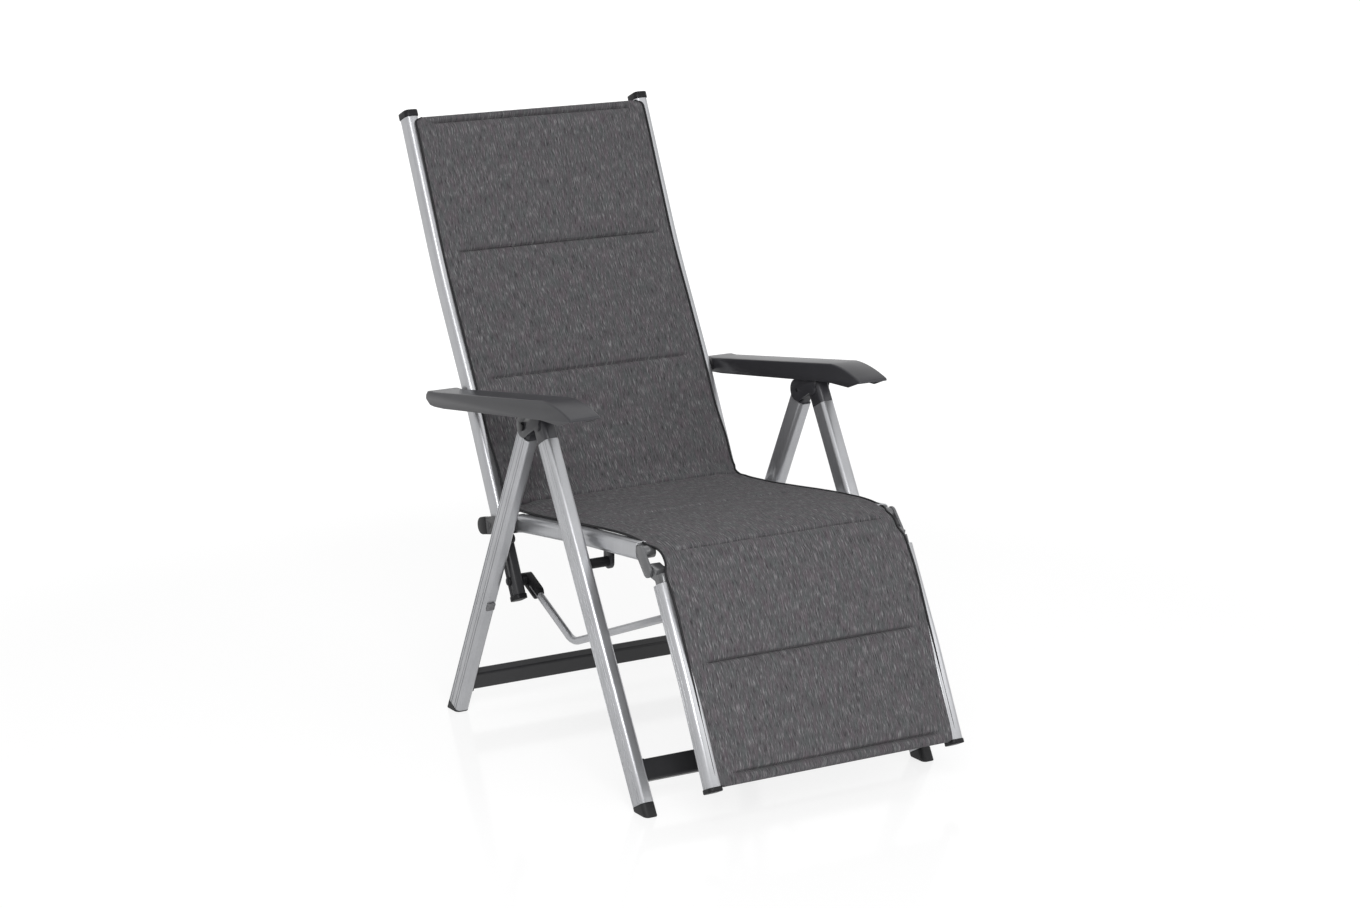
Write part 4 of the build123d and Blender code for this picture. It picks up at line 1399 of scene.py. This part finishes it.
@dataclass
class Studio:
    """A plain white studio: floor, soft lamps, surroundings, and the camera, placed from the leg pivot."""

    pivot: Point
    azimuth: float = -31.261
    elevation: float = 13.475
    camera_place: Place = (-3.1067, -5.15124, 1.9508)
    lens: float = 91.43
    sensor: float = 36.0
    sight: float = 100.0
    floor_size: float = 60.0
    floor_level: float = -0.0004
    surround: float = 0.25
    seat_level: float = 0.45
    lamps: tuple[Lamp, ...] = (
        Lamp("key", (-1.9, -3.6, 2.7), 2.2, 125.0),
        Lamp("front", (2.2, -3.6, 2.2), 2.6, 28.0),
        Lamp("top", (0.2, 0.8, 3.8), 2.6, 16.0))

    def build(self) -> None:
        """Set up the floor, lamps, surroundings and camera."""
        self._floor()
        for lamp in self.lamps:
            lamp.build(Vector((0.0, 0.0, self.seat_level)))
        self._surroundings()
        self._camera()
        bpy.context.scene.view_settings.view_transform = "Standard"

    def _floor(self) -> None:
        """Lay the plain floor."""
        Bench.clear()
        bpy.ops.mesh.primitive_plane_add(size=self.floor_size, location=(0.0, 0.0, self.floor_level))
        floor = bpy.context.object
        floor.name = "floor"
        Bench.settle(floor)
        Bench.dress(floor, Paper().build())

    def _surroundings(self) -> None:
        """White surroundings for the eye, for gloss and for glass, and a softer level for the light."""
        world = bpy.data.worlds.new("studio")
        bpy.context.scene.world = world
        world.use_nodes = True
        tree = world.node_tree
        tree.nodes.clear()
        path = tree.nodes.new("ShaderNodeLightPath")
        seen = path.outputs[Ray.CAMERA.value]
        for ray in (Ray.TRANSMISSION, Ray.GLOSSY):
            either = tree.nodes.new("ShaderNodeMath")
            either.operation = "MAXIMUM"
            tree.links.new(seen, either.inputs[0])
            tree.links.new(path.outputs[ray.value], either.inputs[1])
            seen = either.outputs[0]
        level = tree.nodes.new("ShaderNodeMapRange")
        level.inputs["To Min"].default_value = self.surround
        tree.links.new(seen, level.inputs["Value"])
        ground = tree.nodes.new("ShaderNodeBackground")
        ground.inputs["Color"].default_value = _rgba(WHITE)
        tree.links.new(level.outputs[0], ground.inputs["Strength"])
        out = tree.nodes.new("ShaderNodeOutputWorld")
        tree.links.new(ground.outputs[0], out.inputs[0])

    def _camera(self) -> None:
        """Put the camera at the photograph's place and angle."""
        data = bpy.data.cameras.new("camera")
        data.sensor_fit = "HORIZONTAL"
        data.sensor_width = self.sensor
        data.lens = self.lens
        data.clip_end = self.sight
        camera = bpy.data.objects.new("camera", data)
        bpy.context.collection.objects.link(camera)
        across, behind, height = self.camera_place
        camera.location = (across, self.pivot[0] + behind, height)
        camera.rotation_euler = (math.radians(90.0 - self.elevation), 0.0, math.radians(self.azimuth))
        bpy.context.scene.camera = camera


def finishes() -> dict[str, bpy.types.Material]:
    """Make the materials.

    Returns:
        The material of each slot of the record, of the nodes that have one of their own, and of the thread.
    """
    hinge = Moulding("glossy_hinge", (0.10, 0.101, 0.105), (0.20, 0.30), grain_depth=0.06, metallic=0.35,
                     lighter=1.2, gloss=0.6).build()
    return {
        "silver_tube": Metal("satin_silver").build(),
        "dark_metal": Moulding("dark_coat", (0.026, 0.026, 0.028), (0.32, 0.45), grain_scale=900.0,
                               grain_depth=0.06).build(),
        "grey_plastic": Moulding("grey_moulding", (0.034, 0.034, 0.038), (0.26, 0.36)).build(),
        "black_plastic": Moulding("black_moulding", (0.008, 0.008, 0.009), (0.34, 0.50), gloss=0.15).build(),
        "bolt_steel": Moulding("black_steel", (0.016, 0.016, 0.017), (0.28, 0.40), grain_scale=700.0,
                               grain_depth=0.05, metallic=0.4).build(),
        "foot_rubber": Moulding("foot_rubber", (0.012, 0.012, 0.013), (0.5, 0.65)).build(),
        "leg_bumpers": Moulding("stop_rubber", (0.13, 0.13, 0.135), (0.5, 0.65)).build(),
        "hinge_link": hinge,
        "seat_hinge": hinge,
        "footrest_cap": hinge,
        "sling_fabric": Melange("melange_cloth").build(),
        "thread": Moulding("sewing_thread", (0.09, 0.088, 0.092), (0.6, 0.8)).build(),
    }


def side_place(frame: dict, joint: str) -> Point:
    """Find a joint's place in the side plane.

    Args:
        frame: The loaded frame.
        joint: The joint's name.

    Returns:
        Its places to the rear and up.
    """
    found = next(each for each in frame["joints"] if each["name"] == joint)
    return (found["pos_m"][1], found["pos_m"][2])


def main() -> None:
    """Build the chair's looks and the studio."""
    logging.basicConfig(level=logging.INFO, format="%(name)s: %(message)s")
    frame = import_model()
    record = frame["record"]
    owners = {node: body for body, nodes in record["behaviour"]["bodies"].items() for node in nodes}
    slots = {each["node"]: each["material_slot"] for each in record["subparts"]}
    materials = finishes()
    sling = Sling(knee=side_place(frame, "hinge_link_swing"), hip=side_place(frame, "recline"))
    low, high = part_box("armrest_left")
    armrests = Armrests(side_place(frame, "armrest_lift_left"), low[0], high[0])
    pieces = Frame(materials).build(frame, owners, slots)
    pieces += sling.build(materials)
    pieces += armrests.build(materials["grey_plastic"])
    for piece in pieces:
        LOG.info("%s: %d faces", piece.name, len(piece.data.polygons))
    Studio(side_place(frame, "rear_leg_fold")).build()


if __name__ == "__main__":
    main()
